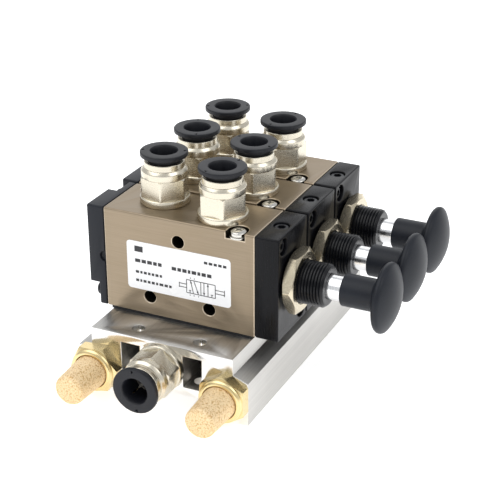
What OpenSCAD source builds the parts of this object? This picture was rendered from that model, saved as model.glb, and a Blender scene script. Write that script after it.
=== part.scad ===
// Three-station hand-pull pneumatic valve bank on a common manifold base, with two
// exhaust mufflers. Each station is a five-port, two-position spool valve.
// X runs from the rear caps to the pull knobs, Y from the port end of the base to its
// plugged end, Z upwards. The drawings are made with the valve bodies' lower front
// rear corner at zero, and placed() carries them to the origin under the whole box.

/* [Valve body] */
// Length of a valve body, along X
body_l = 53; // [52.5:0.5:66]
// Width of a valve body, along Y
body_w = 22; // [21:0.5:28]
// Height of a valve body
body_h = 35; // [34:0.5:44]
// Radius of the body's long edges
body_edge_r = 0.6; // [0.3:0.1:1]
// Gap between neighbouring valve bodies
station_gap = 1; // [0.5:0.1:3]
// Height of the spool's axis above the bottom of the body
spool_axis_h = 17.5; // [16.5:0.5:18]
// Diameter of the spool bore
spool_bore_d = 12; // [11:0.1:12.2]
// Spacing of the five port grooves along the spool bore
port_pitch = 8.6; // [8.2:0.1:8.7]
// Width of a port groove in the spool bore
port_groove_w = 4.2; // [3.6:0.1:4.3]
// Depth of a port groove
port_groove_depth = 1; // [0.6:0.1:1.1]
// Diameter of the drilled passages to the ports
passage_d = 4.4; // [3:0.2:4.6]
// How far the middle port stands forward of the body's middle
port_shift = 0.5; // [0:0.1:1]

/* [Top ports] */
// Spacing of the two top ports along X
top_port_spacing = 22.6; // [20:0.2:24]
// How far each top port stands off the port line along Y
top_port_stagger = 2; // [0:0.1:2.4]
// How far the port line stands behind the body's middle
top_port_line = 0.4; // [0:0.1:0.5]
// Diameter of a port thread
thread_d = 13.16; // [12:0.02:13.6]
// Depth of a port thread
thread_depth = 8.6; // [8.4:0.1:9]
// Radial gap between a screwed-in piece and its threaded hole
thread_gap = 0.06; // [0.02:0.01:0.1]

/* [Body holes] */
// Diameter of the holes across the body
side_hole_d = 4.2; // [3.4:0.1:4.4]
// Spacing of the two lower holes across the body
side_hole_spacing = 21.2; // [20:0.1:22]
// Height of the two lower holes
side_hole_h = 6.4; // [5:0.1:7]
// Height of the single upper hole
upper_hole_h = 27.8; // [27.4:0.1:28]
// How far the screw notch's middle stands in from the body's end
notch_inset = 6.6; // [6:0.1:7.5]
// How far the screw's middle stands in from the body's side
screw_inset = 2.7; // [2.4:0.1:3]
// Diameter of the screw notch
notch_d = 6.5; // [6:0.1:7]
// Depth of the screw notch
notch_depth = 2.4; // [2:0.1:3]

/* [Label] */
// Length of the label on the body's side
label_l = 36.8; // [20:0.2:40]
// Height of the label
label_h = 16.8; // [10:0.2:17]
// Thickness of the label
label_t = 0.15; // [0.1:0.05:0.3]
// Corner radius of the label
label_corner_r = 1.2; // [0.5:0.1:2]
// Height of the label's lower edge
label_low = 8.6; // [8.6:0.1:9]

/* [End caps] */
// Thickness of the gasket between body and caps
cap_gasket_t = 0.3; // [0.2:0.1:0.6]
// Thickness of the rear cap's flange
rear_flange_t = 2.5; // [2:0.1:4]
// Thickness of the rear cap's raised middle
rear_raise_t = 3.4; // [3:0.1:5]
// Size of the raised middle's corner notch along Y
rear_notch_y = 8.3; // [6:0.1:9]
// Size of the raised middle's corner notch along Z
rear_notch_z = 7.7; // [6:0.1:9]
// Diameter of the breather notch at the rear cap's seam
breather_d = 3.6; // [2:0.1:5]
// Thickness of the front cover
cover_t = 7.7; // [7:0.1:10]
// How far the cap screws stand in from the sides
cap_screw_inset_y = 4.1; // [3.6:0.1:4.6]
// How far the cap screws stand in from top and bottom
cap_screw_inset_z = 3.7; // [3.4:0.1:4.2]
// Diameter of the cap screws' thread
cap_screw_d = 2.5; // [2:0.1:3]
// How far the cap screws reach into the body
cap_screw_grip = 3.2; // [2:0.1:3.3]
// Diameter of the cap screws' heads
cap_head_d = 4.6; // [4:0.1:5]
// Height of the cap screws' heads
cap_head_h = 2.4; // [1.4:0.1:2.4]
// Diameter of the counterbore round a front screw's head
counterbore_d = 5.6; // [5:0.1:6]
// Depth of that counterbore
counterbore_depth = 3.2; // [2.6:0.1:4]

/* [Collar and nut] */
// Outside diameter of the threaded collar
collar_d = 14; // [13:0.1:14.4]
// How far the collar stands out of the cover
collar_reach = 12.7; // [11:0.1:16]
// Pitch of the collar's thread ridges
ridge_pitch = 1; // [0.8:0.1:1.5]
// Depth of the collar's thread ridges
ridge_depth = 0.5; // [0.3:0.05:0.6]
// Width across flats of the lock nut
nut_af = 19; // [17:0.1:19.6]
// Thickness of the lock nut
nut_t = 3.8; // [3:0.1:5]
// Gap between lock nut and cover
nut_gap = 0.5; // [0.2:0.1:1]

/* [Rod and knob] */
// Diameter of the pull rod
rod_d = 8; // [7:0.1:8.4]
// Radial running clearance of rod, spool and sliding rings
running_gap = 0.05; // [0.02:0.01:0.09]
// Travel of the spool from pulled out to pushed in
stroke = 4.5; // [3.5:0.1:4.5]
// Room left between knob and collar when pushed in
knob_stop_gap = 0.3; // [0.2:0.1:1]
// Diameter of the knob's neck
knob_neck_d = 10.4; // [10:0.1:13]
// Length of the knob's neck
knob_neck_l = 11.1; // [9:0.1:14]
// Diameter of the knob's mushroom head
knob_d = 22.4; // [18:0.1:22.6]
// Thickness of the mushroom head's back, up to its rim
knob_back_t = 2.6; // [2:0.1:4]
// Height of the mushroom head's dome above its rim
knob_dome_h = 4.3; // [4:0.1:7]
// Radius of the mushroom head's rim
knob_rim_r = 1.4; // [1:0.1:1.8]

/* [Detent] */
// Diameter of the detent ball
ball_d = 3; // [2.4:0.1:3]
// How deep the rod is turned down under the ball
waist_depth = 0.6; // [0.4:0.1:1]
// Diameter of the detent's set screw
set_screw_d = 5; // [4:0.1:5]
// Length of the detent's set screw
set_screw_l = 5; // [4:0.1:6]

/* [Spool] */
// Diameter of the spool between its lands
spool_waist_d = 6.4; // [5:0.1:7]
// Width of a spool land
land_w = 3; // [2.6:0.1:3]
// Thickness of the spool's sealing rings
spool_seal_t = 1.8; // [1.6:0.1:1.9]
// How far a land laps over the wall beside its port when open
land_lap = 1.5; // [1.4:0.1:1.6]

/* [Mounting screws] */
// Diameter of the valve mounting screws
valve_screw_d = 3; // [2.6:0.1:3]
// Diameter of their heads
valve_head_d = 5.2; // [4.6:0.1:5.4]
// Height of their heads
valve_head_h = 1.8; // [1.4:0.1:2]
// Thickness of the washer under each head
washer_t = 0.6; // [0.4:0.1:0.8]
// Diameter of that washer
washer_d = 6; // [5.4:0.1:6]
// How far the screws reach into the base
valve_screw_grip = 5.4; // [4:0.1:5.6]
// Radial gap of a screw in its clearance hole
screw_gap = 0.15; // [0.1:0.05:0.3]

/* [Manifold base] */
// Thickness of the gasket under each valve
base_gasket_t = 0.9; // [0.5:0.1:1.5]
// How far the deck's side stands back from the body's end
deck_setback = 1.3; // [0.5:0.1:2]
// How far the base reaches past the valves at each end
base_margin = 14; // [12:0.5:24]
// Height of the deck's side above the ledge
deck_side_h = 5.7; // [5:0.1:6]
// Drop of the sloping ledge
ledge_drop = 1.8; // [1:0.1:1.9]
// Depth of the base's middle from the deck
base_core_h = 17; // [16.6:0.1:20]
// Depth of the base from the deck to its feet
base_h = 22.6; // [22.4:0.1:28]
// Thickness of a foot
foot_t = 3.2; // [2.5:0.1:4]
// Height of a foot below the exhaust channels' floor
foot_h = 1.7; // [1:0.1:1.8]
// Depth of the supply channel's axis below the deck
supply_depth = 8.3; // [8.2:0.1:9]
// Depth of the exhaust channels' axes below the deck
exhaust_depth = 13.1; // [13:0.1:13.2]
// How far an exhaust channel lies outboard of its valve port
exhaust_offset = 5.7; // [5:0.1:6]
// How much smaller a channel's radius is than its thread's
channel_step = 1.08; // [0.9:0.02:2]
// Wall left outside an exhaust thread
exhaust_wall = 0.9; // [0.8:0.1:2]
// Width of the hollow beside the supply channel
hollow_w = 6.6; // [5:0.1:6.8]
// Depth of the hollow's roof below the deck
hollow_roof = 3; // [2.5:0.1:4]
// Height of the hollow
hollow_h = 11.1; // [9:0.1:11.4]
// Spacing of the base's bolt holes along X
bolt_spacing_x = 22; // [21.8:0.1:22.2]
// How far the bolt holes stand in from the base's ends
bolt_inset = 5.7; // [4:0.1:7]
// Diameter of the base's bolt holes
bolt_hole_d = 4.3; // [3.4:0.1:4.6]

/* [Push-in fittings] */
// Diameter of the tube that the fittings take
tube_d = 8; // [7.6:0.1:8.2]
// Radial gap between tube and fitting
tube_gap = 0.05; // [0.03:0.01:0.1]
// Diameter of the fitting's seat flange
seat_d = 16.2; // [15:0.1:17]
// Thickness of the seat flange
seat_t = 2.4; // [1.5:0.1:3]
// Width across flats of the fitting's hexagon
fitting_af = 14; // [13.6:0.1:15]
// Height of the hexagon
fitting_hex_h = 6.4; // [6:0.1:8]
// Diameter of the round shoulder above the hexagon
shoulder_d = 15; // [14:0.1:15.4]
// Height of the round shoulder
shoulder_h = 3.2; // [2.6:0.1:4]
// Diameter of the neck above the shoulder
neck_d = 13; // [12.6:0.1:13.4]
// Height of the neck
neck_h = 2; // [1.6:0.1:2.4]
// Length of the fitting's threaded end
fitting_thread_l = 8; // [6:0.1:8]
// Diameter of the flow hole below the tube
flow_d = 6; // [5:0.1:6.4]
// Diameter of the release ring's rim
ring_d = 15.4; // [14:0.1:15.6]
// Diameter of the release ring's underside
ring_low_d = 12.4; // [12:0.1:13]
// Height of the release ring's rim
ring_h = 2.1; // [1.8:0.1:3]
// Diameter of the release ring's mouth
ring_mouth_d = 9.1; // [8.8:0.1:9.4]
// Wall of the release ring's sleeve
sleeve_wall = 1; // [0.8:0.05:1.1]
// Travel of a release ring when it is pressed in
ring_travel = 1; // [0.8:0.1:1.2]
// Room left under a pressed-in release ring
ring_stop_gap = 0.1; // [0.1:0.05:0.4]
// Thickness of the tube's sealing ring
tube_seal_t = 1.8; // [1.6:0.1:1.9]
// Thickness of the toothed grip ring
grip_t = 0.4; // [0.3:0.05:0.5]

/* [Mufflers] */
// Width across flats of the muffler's hexagon
muffler_af = 15; // [14:0.1:15.4]
// Length of the muffler's hexagon
muffler_hex_l = 3.9; // [3:0.1:6]
// Length of the muffler's round rim
muffler_rim_l = 1.7; // [1.2:0.1:2.4]
// Length of the muffler's threaded end
muffler_thread_l = 8; // [5:0.1:8]
// Diameter of the sintered element at its foot
element_d = 11.3; // [9:0.1:11.6]
// Diameter of the sintered element at its tip
element_tip_d = 10.2; // [8:0.1:11]
// How far the sintered element stands out of the rim
element_reach = 13.4; // [8:0.1:24]
// How deep the sintered element is pressed into the body
element_seat = 2.6; // [2:0.1:4]
// Wall of the sintered element
element_wall = 1.6; // [1.2:0.1:2.4]
// Rounding of the sintered element's tip
element_tip_r = 1.2; // [0.6:0.1:1.5]
// Width across flats of the socket in each end plug
plug_socket_af = 6; // [5:0.5:7]
// How far the end plugs lie below the end face
plug_recess = 0.6; // [0.2:0.1:0.8]

/* [Hidden] */
$fn = 64;
FIT_FN = 32;
STATIONS = 3;
// How far a cutting shape runs past what it cuts, and the gap that keeps touching pieces apart
CUT = 1;
TOUCH = 0.02;

// Places along X
body_mid_x = body_l / 2;
port_x = body_mid_x + port_shift;
cover_x = body_l + cap_gasket_t;
cover_face_x = cover_x + cover_t;
collar_end_x = cover_face_x + collar_reach;
knob_x = collar_end_x + stroke + knob_stop_gap;
knob_rim_x = knob_x + knob_neck_l + knob_back_t;
knob_tip_x = knob_rim_x + knob_dome_h;
rear_face_x = -cap_gasket_t - rear_flange_t;
rear_end_x = rear_face_x - rear_raise_t;
detent_x = cover_x + cover_t / 2;

// Places along Y
pitch = body_w + station_gap;
body_mid_y = body_w / 2;
bank_w = STATIONS * pitch - station_gap;
base_front_y = -base_margin;
base_back_y = bank_w + base_margin;

// Places along Z
deck_z = -base_gasket_t;
base_low_z = deck_z - base_h;
supply_z = deck_z - supply_depth;
exhaust_z = deck_z - exhaust_depth;

// Spool lands, counted from the middle port with the knob pulled out
groove_half = port_groove_w / 2;
rear_room = 0.5;
front_room = 0.3;
spool_tail_l = 0.8;
rear_land_x = -2 * port_pitch - groove_half - rear_room - spool_seal_t / 2;
a_land_x = -port_pitch - groove_half - land_lap + land_w / 2 + stroke;
b_land_x = port_pitch - groove_half - land_lap + land_w / 2 + stroke;
front_land_x = 2 * port_pitch + groove_half + front_room + spool_seal_t / 2 + stroke;
LANDS = [rear_land_x, a_land_x, b_land_x, front_land_x];
spool_rear_x = port_x + rear_land_x - land_w / 2 - spool_tail_l;
spool_front_x = port_x + front_land_x + land_w / 2;
bore_r = spool_bore_d / 2;
land_r = bore_r - 2 * running_gap;
seal_out_r = bore_r - running_gap;
seal_groove_w = spool_seal_t + 0.2;
// The passages run this far into the spool bore's round wall
passage_lap = 2;
passage_end = bore_r - passage_lap;

// Rear cap's recess, bumper and the gap that the spool keeps from it
bumper_gap = 0.5;
bumper_t = 2.2;
bumper_hole_r = 2;
recess_gap = 0.4;
recess_r = bore_r + recess_gap;
bumper_face_x = min(spool_rear_x - stroke - bumper_gap, -cap_gasket_t);
recess_x = bumper_face_x - bumper_t;

// Collar and rod
rod_r = rod_d / 2;
collar_r = collar_d / 2;
collar_start_gap = 0.4;
collar_start_x = max(cover_x, spool_front_x) + collar_start_gap;
collar_chamfer = 0.9;
collar_plain_l = 1.2;
spigot_r = 2.4;
spigot_l = 6;
socket_end_gap = 0.2;
knob_socket_l = 7;
rod_chamfer = 0.5;
seal_seat_w = 2;
rod_seal_inset = 4;
rod_seal_x = collar_end_x - rod_seal_inset;
rod_seal_t = 1.5;
nut_chamfer = 1;
nut_x = cover_face_x + nut_gap;

// Detent stack, up from the rod's waist
waist_r = rod_r - waist_depth;
waist_room = 1.4;
ball_z = spool_axis_h + waist_r + ball_d / 2 + TOUCH;
ball_hole_r = ball_d / 2 + running_gap;
set_screw_recess = 0.5;
set_screw_z = body_h - set_screw_recess - set_screw_l;
set_socket_d = 2.9;
set_socket_depth = 2;
spring_low_z = ball_z + ball_d / 2 + TOUCH;
spring_wire_d = 0.4;
spring_r = ball_d / 2 - spring_wire_d;
SPRING_TURNS = 4;
SPRING_STEPS = 12;
SPRING_SIDES = 6;

// Mounting screws stand at two opposite corners of each body
FRONT_CORNER = [body_l - notch_inset, screw_inset];
BACK_CORNER = [notch_inset, body_w - screw_inset];
VALVE_SCREWS = [FRONT_CORNER, BACK_CORNER];
notch_floor_z = body_h - notch_depth;
hole_end_room = 0.6;

// Cap screws, as places in Y and Z: the front pair and the rear pair are mirror images
cap_socket_af = 2;
cap_hole_room = 0.1;
breather_l = 1;
gasket_inset = 0.4;
FRONT_CAP_SCREWS = [
    [cap_screw_inset_y, body_h - cap_screw_inset_z],
    [body_w - cap_screw_inset_y, cap_screw_inset_z]
];
REAR_CAP_SCREWS = [
    [cap_screw_inset_y, cap_screw_inset_z],
    [body_w - cap_screw_inset_y, body_h - cap_screw_inset_z]
];

// Top ports, as places in X and Y
PORT_A = [body_mid_x - top_port_spacing / 2, body_mid_y + top_port_line + top_port_stagger];
PORT_B = [body_mid_x + top_port_spacing / 2, body_mid_y + top_port_line - top_port_stagger];
thread_r = thread_d / 2;
shank_r = thread_r - thread_gap;
channel_r = thread_r - channel_step;
shank_wall = 2;

// Base
deck_half = body_l / 2 - deck_setback;
exhaust_x = 2 * port_pitch + exhaust_offset;
base_half = exhaust_x + thread_r + exhaust_wall;
foot_in = base_half - foot_t;
base_mid_x = port_x;
boss_wall = 1;
boss_slope = 3;
boss_half = exhaust_x - thread_r - boss_wall;
seat_gasket_inset = 0.5;
base_l = base_back_y - base_front_y;

// Fittings, measured from the face that they seat on
hex_top = seat_t + fitting_hex_h;
shoulder_top = hex_top + shoulder_h;
neck_top = shoulder_top + neck_h;
ring_low = neck_top + ring_travel + ring_stop_gap;
ring_top = ring_low + ring_h;
tube_bore_r = tube_d / 2 + tube_gap;
sleeve_gap = 0.1;
sleeve_in_r = tube_bore_r + sleeve_gap;
sleeve_out_r = sleeve_in_r + sleeve_wall;
mouth_bore_r = sleeve_out_r + running_gap;
seal_side_gap = 0.05;
seal_end_gap = 0.1;
seal_room_r = tube_bore_r + tube_seal_t + seal_side_gap;
tube_stop = -2;
seal_low = 5;
seal_top = seal_low + tube_seal_t + seal_end_gap;
grip_low = seal_top + seal_side_gap;
grip_room = 0.1;
sleeve_end_gap = 0.4;
sleeve_low = grip_low + grip_t + ring_travel + sleeve_end_gap;
GRIP_TEETH = 12;
tooth_gap = 0.4;

// Mufflers and plugs
muffler_rim_y = muffler_hex_l + muffler_rim_l;
muffler_rim_round = 1;
rim_overlap = 0.5;
muffler_top_chamfer = 1.1;
mouth_chamfer = 0.6;
element_gap = 0.05;
plug_l = 7;
plug_socket_depth = 4;

// Box of the whole bank, from which the origin is set
bank_low_x = min(rear_end_x, base_mid_x - base_half);
bank_low_y = base_front_y - max(ring_top, muffler_rim_y + element_reach);
origin_x = (bank_low_x + knob_tip_x) / 2;
origin_y = (bank_low_y + base_back_y) / 2;

module placed() {
    translate([-origin_x, -origin_y, -base_low_z]) children();
}

module station(i) {
    translate([0, (i - 1) * pitch, 0]) children();
}

module each_station() {
    for (i = [1 : STATIONS]) station(i) children();
}

// A piece drawn along +Z, laid along the spool's axis from x
module on_spool_axis(x) {
    translate([x, body_mid_y, spool_axis_h]) rotate([0, 90, 0]) children();
}

// A piece drawn along +Z, laid along +X from a place in Y and Z
module along_x(x, yz) {
    translate([x, yz[0], yz[1]]) rotate([0, 90, 0]) children();
}

// A piece drawn along +Z from the base's port face, pointing out of it
module on_port_face(x, z) {
    translate([x, base_front_y, z]) rotate([90, 0, 0]) children();
}

// Plate in Y and Z with rounded long edges, thickness along X
module rounded_plate(x, t, w, h, r) {
    translate([x, 0, 0]) rotate([90, 0, 90]) linear_extrude(t) rounded_rect(w, h, r);
}

module rounded_rect(w, h, r) {
    translate([r, 0]) square([w - 2 * r, h]);
    translate([0, r]) square([w, h - 2 * r]);
    for (x = [r, w - r], y = [r, h - r]) translate([x, y]) circle(r);
}

// Sealing ring of round section, with its outer radius and thickness
module seal_ring(out_r, t) {
    rotate_extrude() translate([out_r - t / 2, 0]) circle(d = t, $fn = FIT_FN);
}

// Hexagonal prism along +Z by its width across flats, with both ends turned to a chamfer
module chamfered_hex(af, h, low_chamfer, top_chamfer) {
    corner_r = af / sqrt(3);
    slope = 0.6;
    intersection() {
        cylinder(r = corner_r, h = h, $fn = 6);
        rotate_extrude() polygon([
            [0, 0], [corner_r - low_chamfer, 0], [corner_r, low_chamfer * slope],
            [corner_r, h - top_chamfer * slope], [corner_r - top_chamfer, h], [0, h]
        ]);
    }
}

// Round screw along +Z, with its head's underside at zero and the shank below
module screw(head_d, head_h, shank_d, shank_l, socket_af) {
    crown_h = head_h * 0.4;
    side_h = head_h - crown_h;
    top_d = head_d * 0.8;
    difference() {
        union() {
            cylinder(d = head_d, h = side_h);
            translate([0, 0, side_h]) cylinder(d1 = head_d, d2 = top_d, h = crown_h);
            translate([0, 0, -shank_l]) cylinder(d = shank_d, h = shank_l);
        }
        translate([0, 0, head_h - side_h]) cylinder(d = socket_af / cos(30), h = head_h, $fn = 6);
    }
}

// Pan head with a cross recess, and a washer captive under it
module cross_screw() {
    slot_w = 0.8;
    slot_l = valve_head_d * 0.7;
    slot_floor = valve_head_h * 0.4;
    side_h = valve_head_h / 2;
    difference() {
        union() {
            cylinder(d = valve_head_d, h = side_h);
            translate([0, 0, side_h]) cylinder(d1 = valve_head_d, d2 = slot_l, h = valve_head_h - side_h);
        }
        for (a = [0, 90]) rotate(a)
            translate([-slot_l / 2, -slot_w / 2, slot_floor]) cube([slot_l, slot_w, valve_head_h]);
    }
}

module manifold_profile() {
    polygon([
        [deck_half, 0], [deck_half, -deck_side_h],
        [base_half, -deck_side_h - ledge_drop], [base_half, -base_h],
        [foot_in, -base_h], [foot_in, -base_h + foot_h],
        [boss_half, -base_h + foot_h], [boss_half - boss_slope, -base_core_h],
        [-boss_half + boss_slope, -base_core_h], [-boss_half, -base_h + foot_h],
        [-foot_in, -base_h + foot_h], [-foot_in, -base_h],
        [-base_half, -base_h], [-base_half, -deck_side_h - ledge_drop],
        [-deck_half, -deck_side_h], [-deck_half, 0]
    ]);
}

module base_channel(x, z) {
    translate([x, base_front_y - CUT, z]) rotate([-90, 0, 0]) cylinder(r = channel_r, h = base_l + 2 * CUT);
    translate([x, base_front_y - CUT, z]) rotate([-90, 0, 0]) cylinder(d = thread_d, h = thread_depth + CUT);
    translate([x, base_back_y - thread_depth, z]) rotate([-90, 0, 0])
        cylinder(d = thread_d, h = thread_depth + CUT);
}

module manifold_base() placed() color("silver") difference() {
    translate([base_mid_x, base_back_y, deck_z]) rotate([90, 0, 0]) linear_extrude(base_l) manifold_profile();
    base_channel(base_mid_x, supply_z);
    for (s = [-1, 1]) {
        base_channel(base_mid_x + s * exhaust_x, exhaust_z);
        translate([base_mid_x + s * bolt_spacing_x / 2 - hollow_w / 2, base_front_y - CUT,
                   deck_z - hollow_roof - hollow_h])
            cube([hollow_w, base_l + 2 * CUT, hollow_h]);
        for (y = [base_front_y + bolt_inset, base_back_y - bolt_inset])
            translate([base_mid_x + s * bolt_spacing_x / 2, y, deck_z - base_h])
                cylinder(d = bolt_hole_d, h = base_h + CUT);
        each_station() translate([port_x + s * 2 * port_pitch, body_mid_y, exhaust_z])
            cylinder(d = passage_d, h = exhaust_depth + CUT);
    }
    each_station() {
        translate([port_x, body_mid_y, supply_z]) cylinder(d = passage_d, h = supply_depth + CUT);
        for (p = VALVE_SCREWS) translate([p[0], p[1], deck_z - valve_screw_grip - hole_end_room])
            cylinder(r = valve_screw_d / 2 + thread_gap, h = valve_screw_grip + hole_end_room + CUT);
    }
}

module valve_gaskets() placed() color("#1c1d20") each_station() difference() {
    translate([deck_setback, seat_gasket_inset, deck_z])
        cube([body_l - 2 * deck_setback, body_w - 2 * seat_gasket_inset, base_gasket_t]);
    for (k = [-2, 0, 2]) translate([port_x + k * port_pitch, body_mid_y, deck_z - CUT])
        cylinder(d = passage_d, h = base_gasket_t + 2 * CUT);
    for (p = VALVE_SCREWS) translate([p[0], p[1], deck_z - CUT])
        cylinder(r = valve_screw_d / 2 + screw_gap, h = base_gasket_t + 2 * CUT);
}

module top_port(place, groove_x) {
    translate([place[0], place[1], body_h - thread_depth]) cylinder(r = thread_r, h = thread_depth + CUT);
    translate([groove_x, place[1], spool_axis_h + passage_end])
        cylinder(d = passage_d, h = body_h - spool_axis_h - passage_end);
}

module screw_notch(place, out) {
    translate([place[0], place[1], notch_floor_z]) cylinder(d = notch_d, h = notch_depth + CUT);
    translate([place[0] - notch_d / 2, out > 0 ? place[1] : -CUT, notch_floor_z])
        cube([notch_d, screw_inset + CUT, notch_depth + CUT]);
    translate([place[0], place[1], -CUT]) cylinder(r = valve_screw_d / 2 + screw_gap, h = body_h + 2 * CUT);
}

module across_body(x, z, d) {
    translate([x, -CUT, z]) rotate([-90, 0, 0]) cylinder(d = d, h = body_w + 2 * CUT);
}

module valve_body(i) placed() station(i) color("#b8a68e") difference() {
    rounded_plate(0, body_l, body_w, body_h, body_edge_r);
    on_spool_axis(-CUT) cylinder(r = bore_r, h = body_l + 2 * CUT);
    for (k = [-2 : 2]) on_spool_axis(port_x + k * port_pitch - groove_half)
        cylinder(r = bore_r + port_groove_depth, h = port_groove_w);
    for (k = [-2, 0, 2]) translate([port_x + k * port_pitch, body_mid_y, -CUT])
        cylinder(d = passage_d, h = spool_axis_h - passage_end + CUT);
    top_port(PORT_A, port_x - port_pitch);
    top_port(PORT_B, port_x + port_pitch);
    for (s = [-1, 1]) across_body(body_mid_x + s * side_hole_spacing / 2, side_hole_h, side_hole_d);
    across_body(body_mid_x, upper_hole_h, side_hole_d);
    screw_notch(FRONT_CORNER, -1);
    screw_notch(BACK_CORNER, 1);
    for (p = FRONT_CAP_SCREWS) along_x(body_l - cap_screw_grip - cap_hole_room, p)
        cylinder(r = cap_screw_d / 2 + thread_gap, h = cap_screw_grip + CUT);
    for (p = REAR_CAP_SCREWS) along_x(-CUT, p)
        cylinder(r = cap_screw_d / 2 + thread_gap, h = cap_screw_grip + cap_hole_room + CUT);
}

module valve_labels() placed() color("white") each_station()
    translate([body_mid_x - label_l / 2, 0, label_low]) rotate([90, 0, 0])
        linear_extrude(label_t) rounded_rect(label_l, label_h, label_corner_r);

module cap_gasket(x, screws) difference() {
    translate([x, gasket_inset, gasket_inset])
        cube([cap_gasket_t, body_w - 2 * gasket_inset, body_h - 2 * gasket_inset]);
    on_spool_axis(x - CUT) cylinder(r = recess_r + running_gap, h = cap_gasket_t + 2 * CUT);
    for (p = screws) along_x(x - CUT, p)
        cylinder(r = cap_screw_d / 2 + screw_gap, h = cap_gasket_t + 2 * CUT);
}

module cap_gaskets() placed() color("#1c1d20") each_station() {
    cap_gasket(-cap_gasket_t, REAR_CAP_SCREWS);
    cap_gasket(body_l, FRONT_CAP_SCREWS);
}

module rear_cap(i) placed() station(i) color("#26272a") difference() {
    union() {
        rounded_plate(rear_face_x, rear_flange_t, body_w, body_h, body_edge_r);
        rounded_plate(rear_end_x, rear_raise_t, body_w, body_h, body_edge_r);
    }
    translate([rear_end_x - CUT, -CUT, -CUT])
        cube([rear_raise_t + CUT, rear_notch_y + CUT, rear_notch_z + CUT]);
    translate([rear_end_x - CUT, body_w - rear_notch_y, body_h - rear_notch_z])
        cube([rear_raise_t + CUT, rear_notch_y + CUT, rear_notch_z + CUT]);
    on_spool_axis(recess_x) cylinder(r = recess_r, h = -recess_x + CUT);
    for (p = REAR_CAP_SCREWS) along_x(rear_face_x - CUT, p)
        cylinder(r = cap_screw_d / 2 + screw_gap, h = rear_flange_t + 2 * CUT);
    translate([-cap_gasket_t, -CUT, spool_axis_h]) rotate([-90, 0, 0])
        cylinder(d = breather_d, h = CUT + breather_l);
}

module rear_cap_screws() placed() color("#303236") each_station()
    for (p = REAR_CAP_SCREWS) along_x(rear_face_x, p) mirror([0, 0, 1])
        screw(cap_head_d, cap_head_h, cap_screw_d, -rear_face_x + cap_screw_grip, cap_socket_af);

module spool_bumpers() placed() color("#151515") each_station() on_spool_axis(recess_x) difference() {
    cylinder(r = recess_r - screw_gap, h = bumper_t);
    translate([0, 0, -CUT]) cylinder(r = bumper_hole_r, h = bumper_t + 2 * CUT);
}

module front_cover(i) placed() station(i) color("#26272a") difference() {
    rounded_plate(cover_x, cover_t, body_w, body_h, body_edge_r);
    on_spool_axis(cover_x - CUT) cylinder(r = collar_r + thread_gap, h = cover_t + 2 * CUT);
    for (p = FRONT_CAP_SCREWS) {
        along_x(cover_x - CUT, p) cylinder(r = cap_screw_d / 2 + screw_gap, h = cover_t + 2 * CUT);
        along_x(cover_face_x - counterbore_depth, p) cylinder(d = counterbore_d, h = counterbore_depth + CUT);
    }
    translate([detent_x, body_mid_y, spool_axis_h])
        cylinder(r = ball_hole_r, h = body_h - spool_axis_h + CUT);
    translate([detent_x, body_mid_y, set_screw_z]) cylinder(r = set_screw_d / 2 + thread_gap, h = body_h);
}

module front_cover_screws() placed() color("#1a1b1d") each_station()
    for (p = FRONT_CAP_SCREWS) along_x(cover_face_x - counterbore_depth, p)
        screw(cap_head_d, cap_head_h, cap_screw_d,
              cover_t + cap_gasket_t - counterbore_depth + cap_screw_grip, cap_socket_af);

// Thread ridges are turned as plain rings, a pitch apart
module collar_profile(l, ridge_start, ridge_end) {
    ridges = floor((ridge_end - ridge_start) / ridge_pitch);
    polygon(concat(
        [[rod_r + running_gap, 0], [collar_r, 0], [collar_r, ridge_start]],
        [for (k = [0 : ridges - 1], s = [0, 1])
            [collar_r - (s == 0 ? ridge_depth : 0), ridge_start + (k + 0.5 + s / 2) * ridge_pitch]],
        [[collar_r, l - collar_chamfer], [collar_r - collar_chamfer, l], [rod_r + running_gap, l]]
    ));
}

module threaded_collar(i) placed() station(i) color("#26272a") difference() {
    on_spool_axis(collar_start_x) rotate_extrude()
        collar_profile(collar_end_x - collar_start_x, cover_face_x - collar_start_x,
                       collar_end_x - collar_start_x - collar_plain_l);
    on_spool_axis(rod_seal_x - seal_seat_w / 2)
        cylinder(r = rod_r + running_gap + rod_seal_t, h = seal_seat_w);
    translate([detent_x, body_mid_y, spool_axis_h]) cylinder(r = ball_hole_r, h = collar_d);
}

module rod_seals() placed() color("#151515") each_station()
    on_spool_axis(rod_seal_x) seal_ring(rod_r + running_gap + rod_seal_t - TOUCH, rod_seal_t - TOUCH);

module lock_nut(i) placed() station(i) color("#d8d4c8") difference() {
    on_spool_axis(nut_x) rotate(90) chamfered_hex(nut_af, nut_t, nut_chamfer, nut_chamfer);
    on_spool_axis(nut_x - CUT) cylinder(r = collar_r + thread_gap, h = nut_t + 2 * CUT);
}

module detent_set_screws() placed() color("#1a1b1d") each_station()
    translate([detent_x, body_mid_y, set_screw_z]) difference() {
        cylinder(d = set_screw_d, h = set_screw_l);
        translate([0, 0, set_screw_l - set_socket_depth])
            cylinder(d = set_socket_d, h = set_screw_l, $fn = 6);
    }

module detent_balls() placed() color("silver") each_station()
    translate([detent_x, body_mid_y, ball_z]) sphere(d = ball_d);

// One ring of the spring wire's section at a turn angle, as points
function wire_ring(a, rise) = [for (k = [0 : SPRING_SIDES - 1])
    let (t = 360 * k / SPRING_SIDES, r = spring_r + spring_wire_d / 2 * cos(t))
    [r * cos(a), r * sin(a), rise * a / 360 + spring_wire_d / 2 * sin(t)]];

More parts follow.
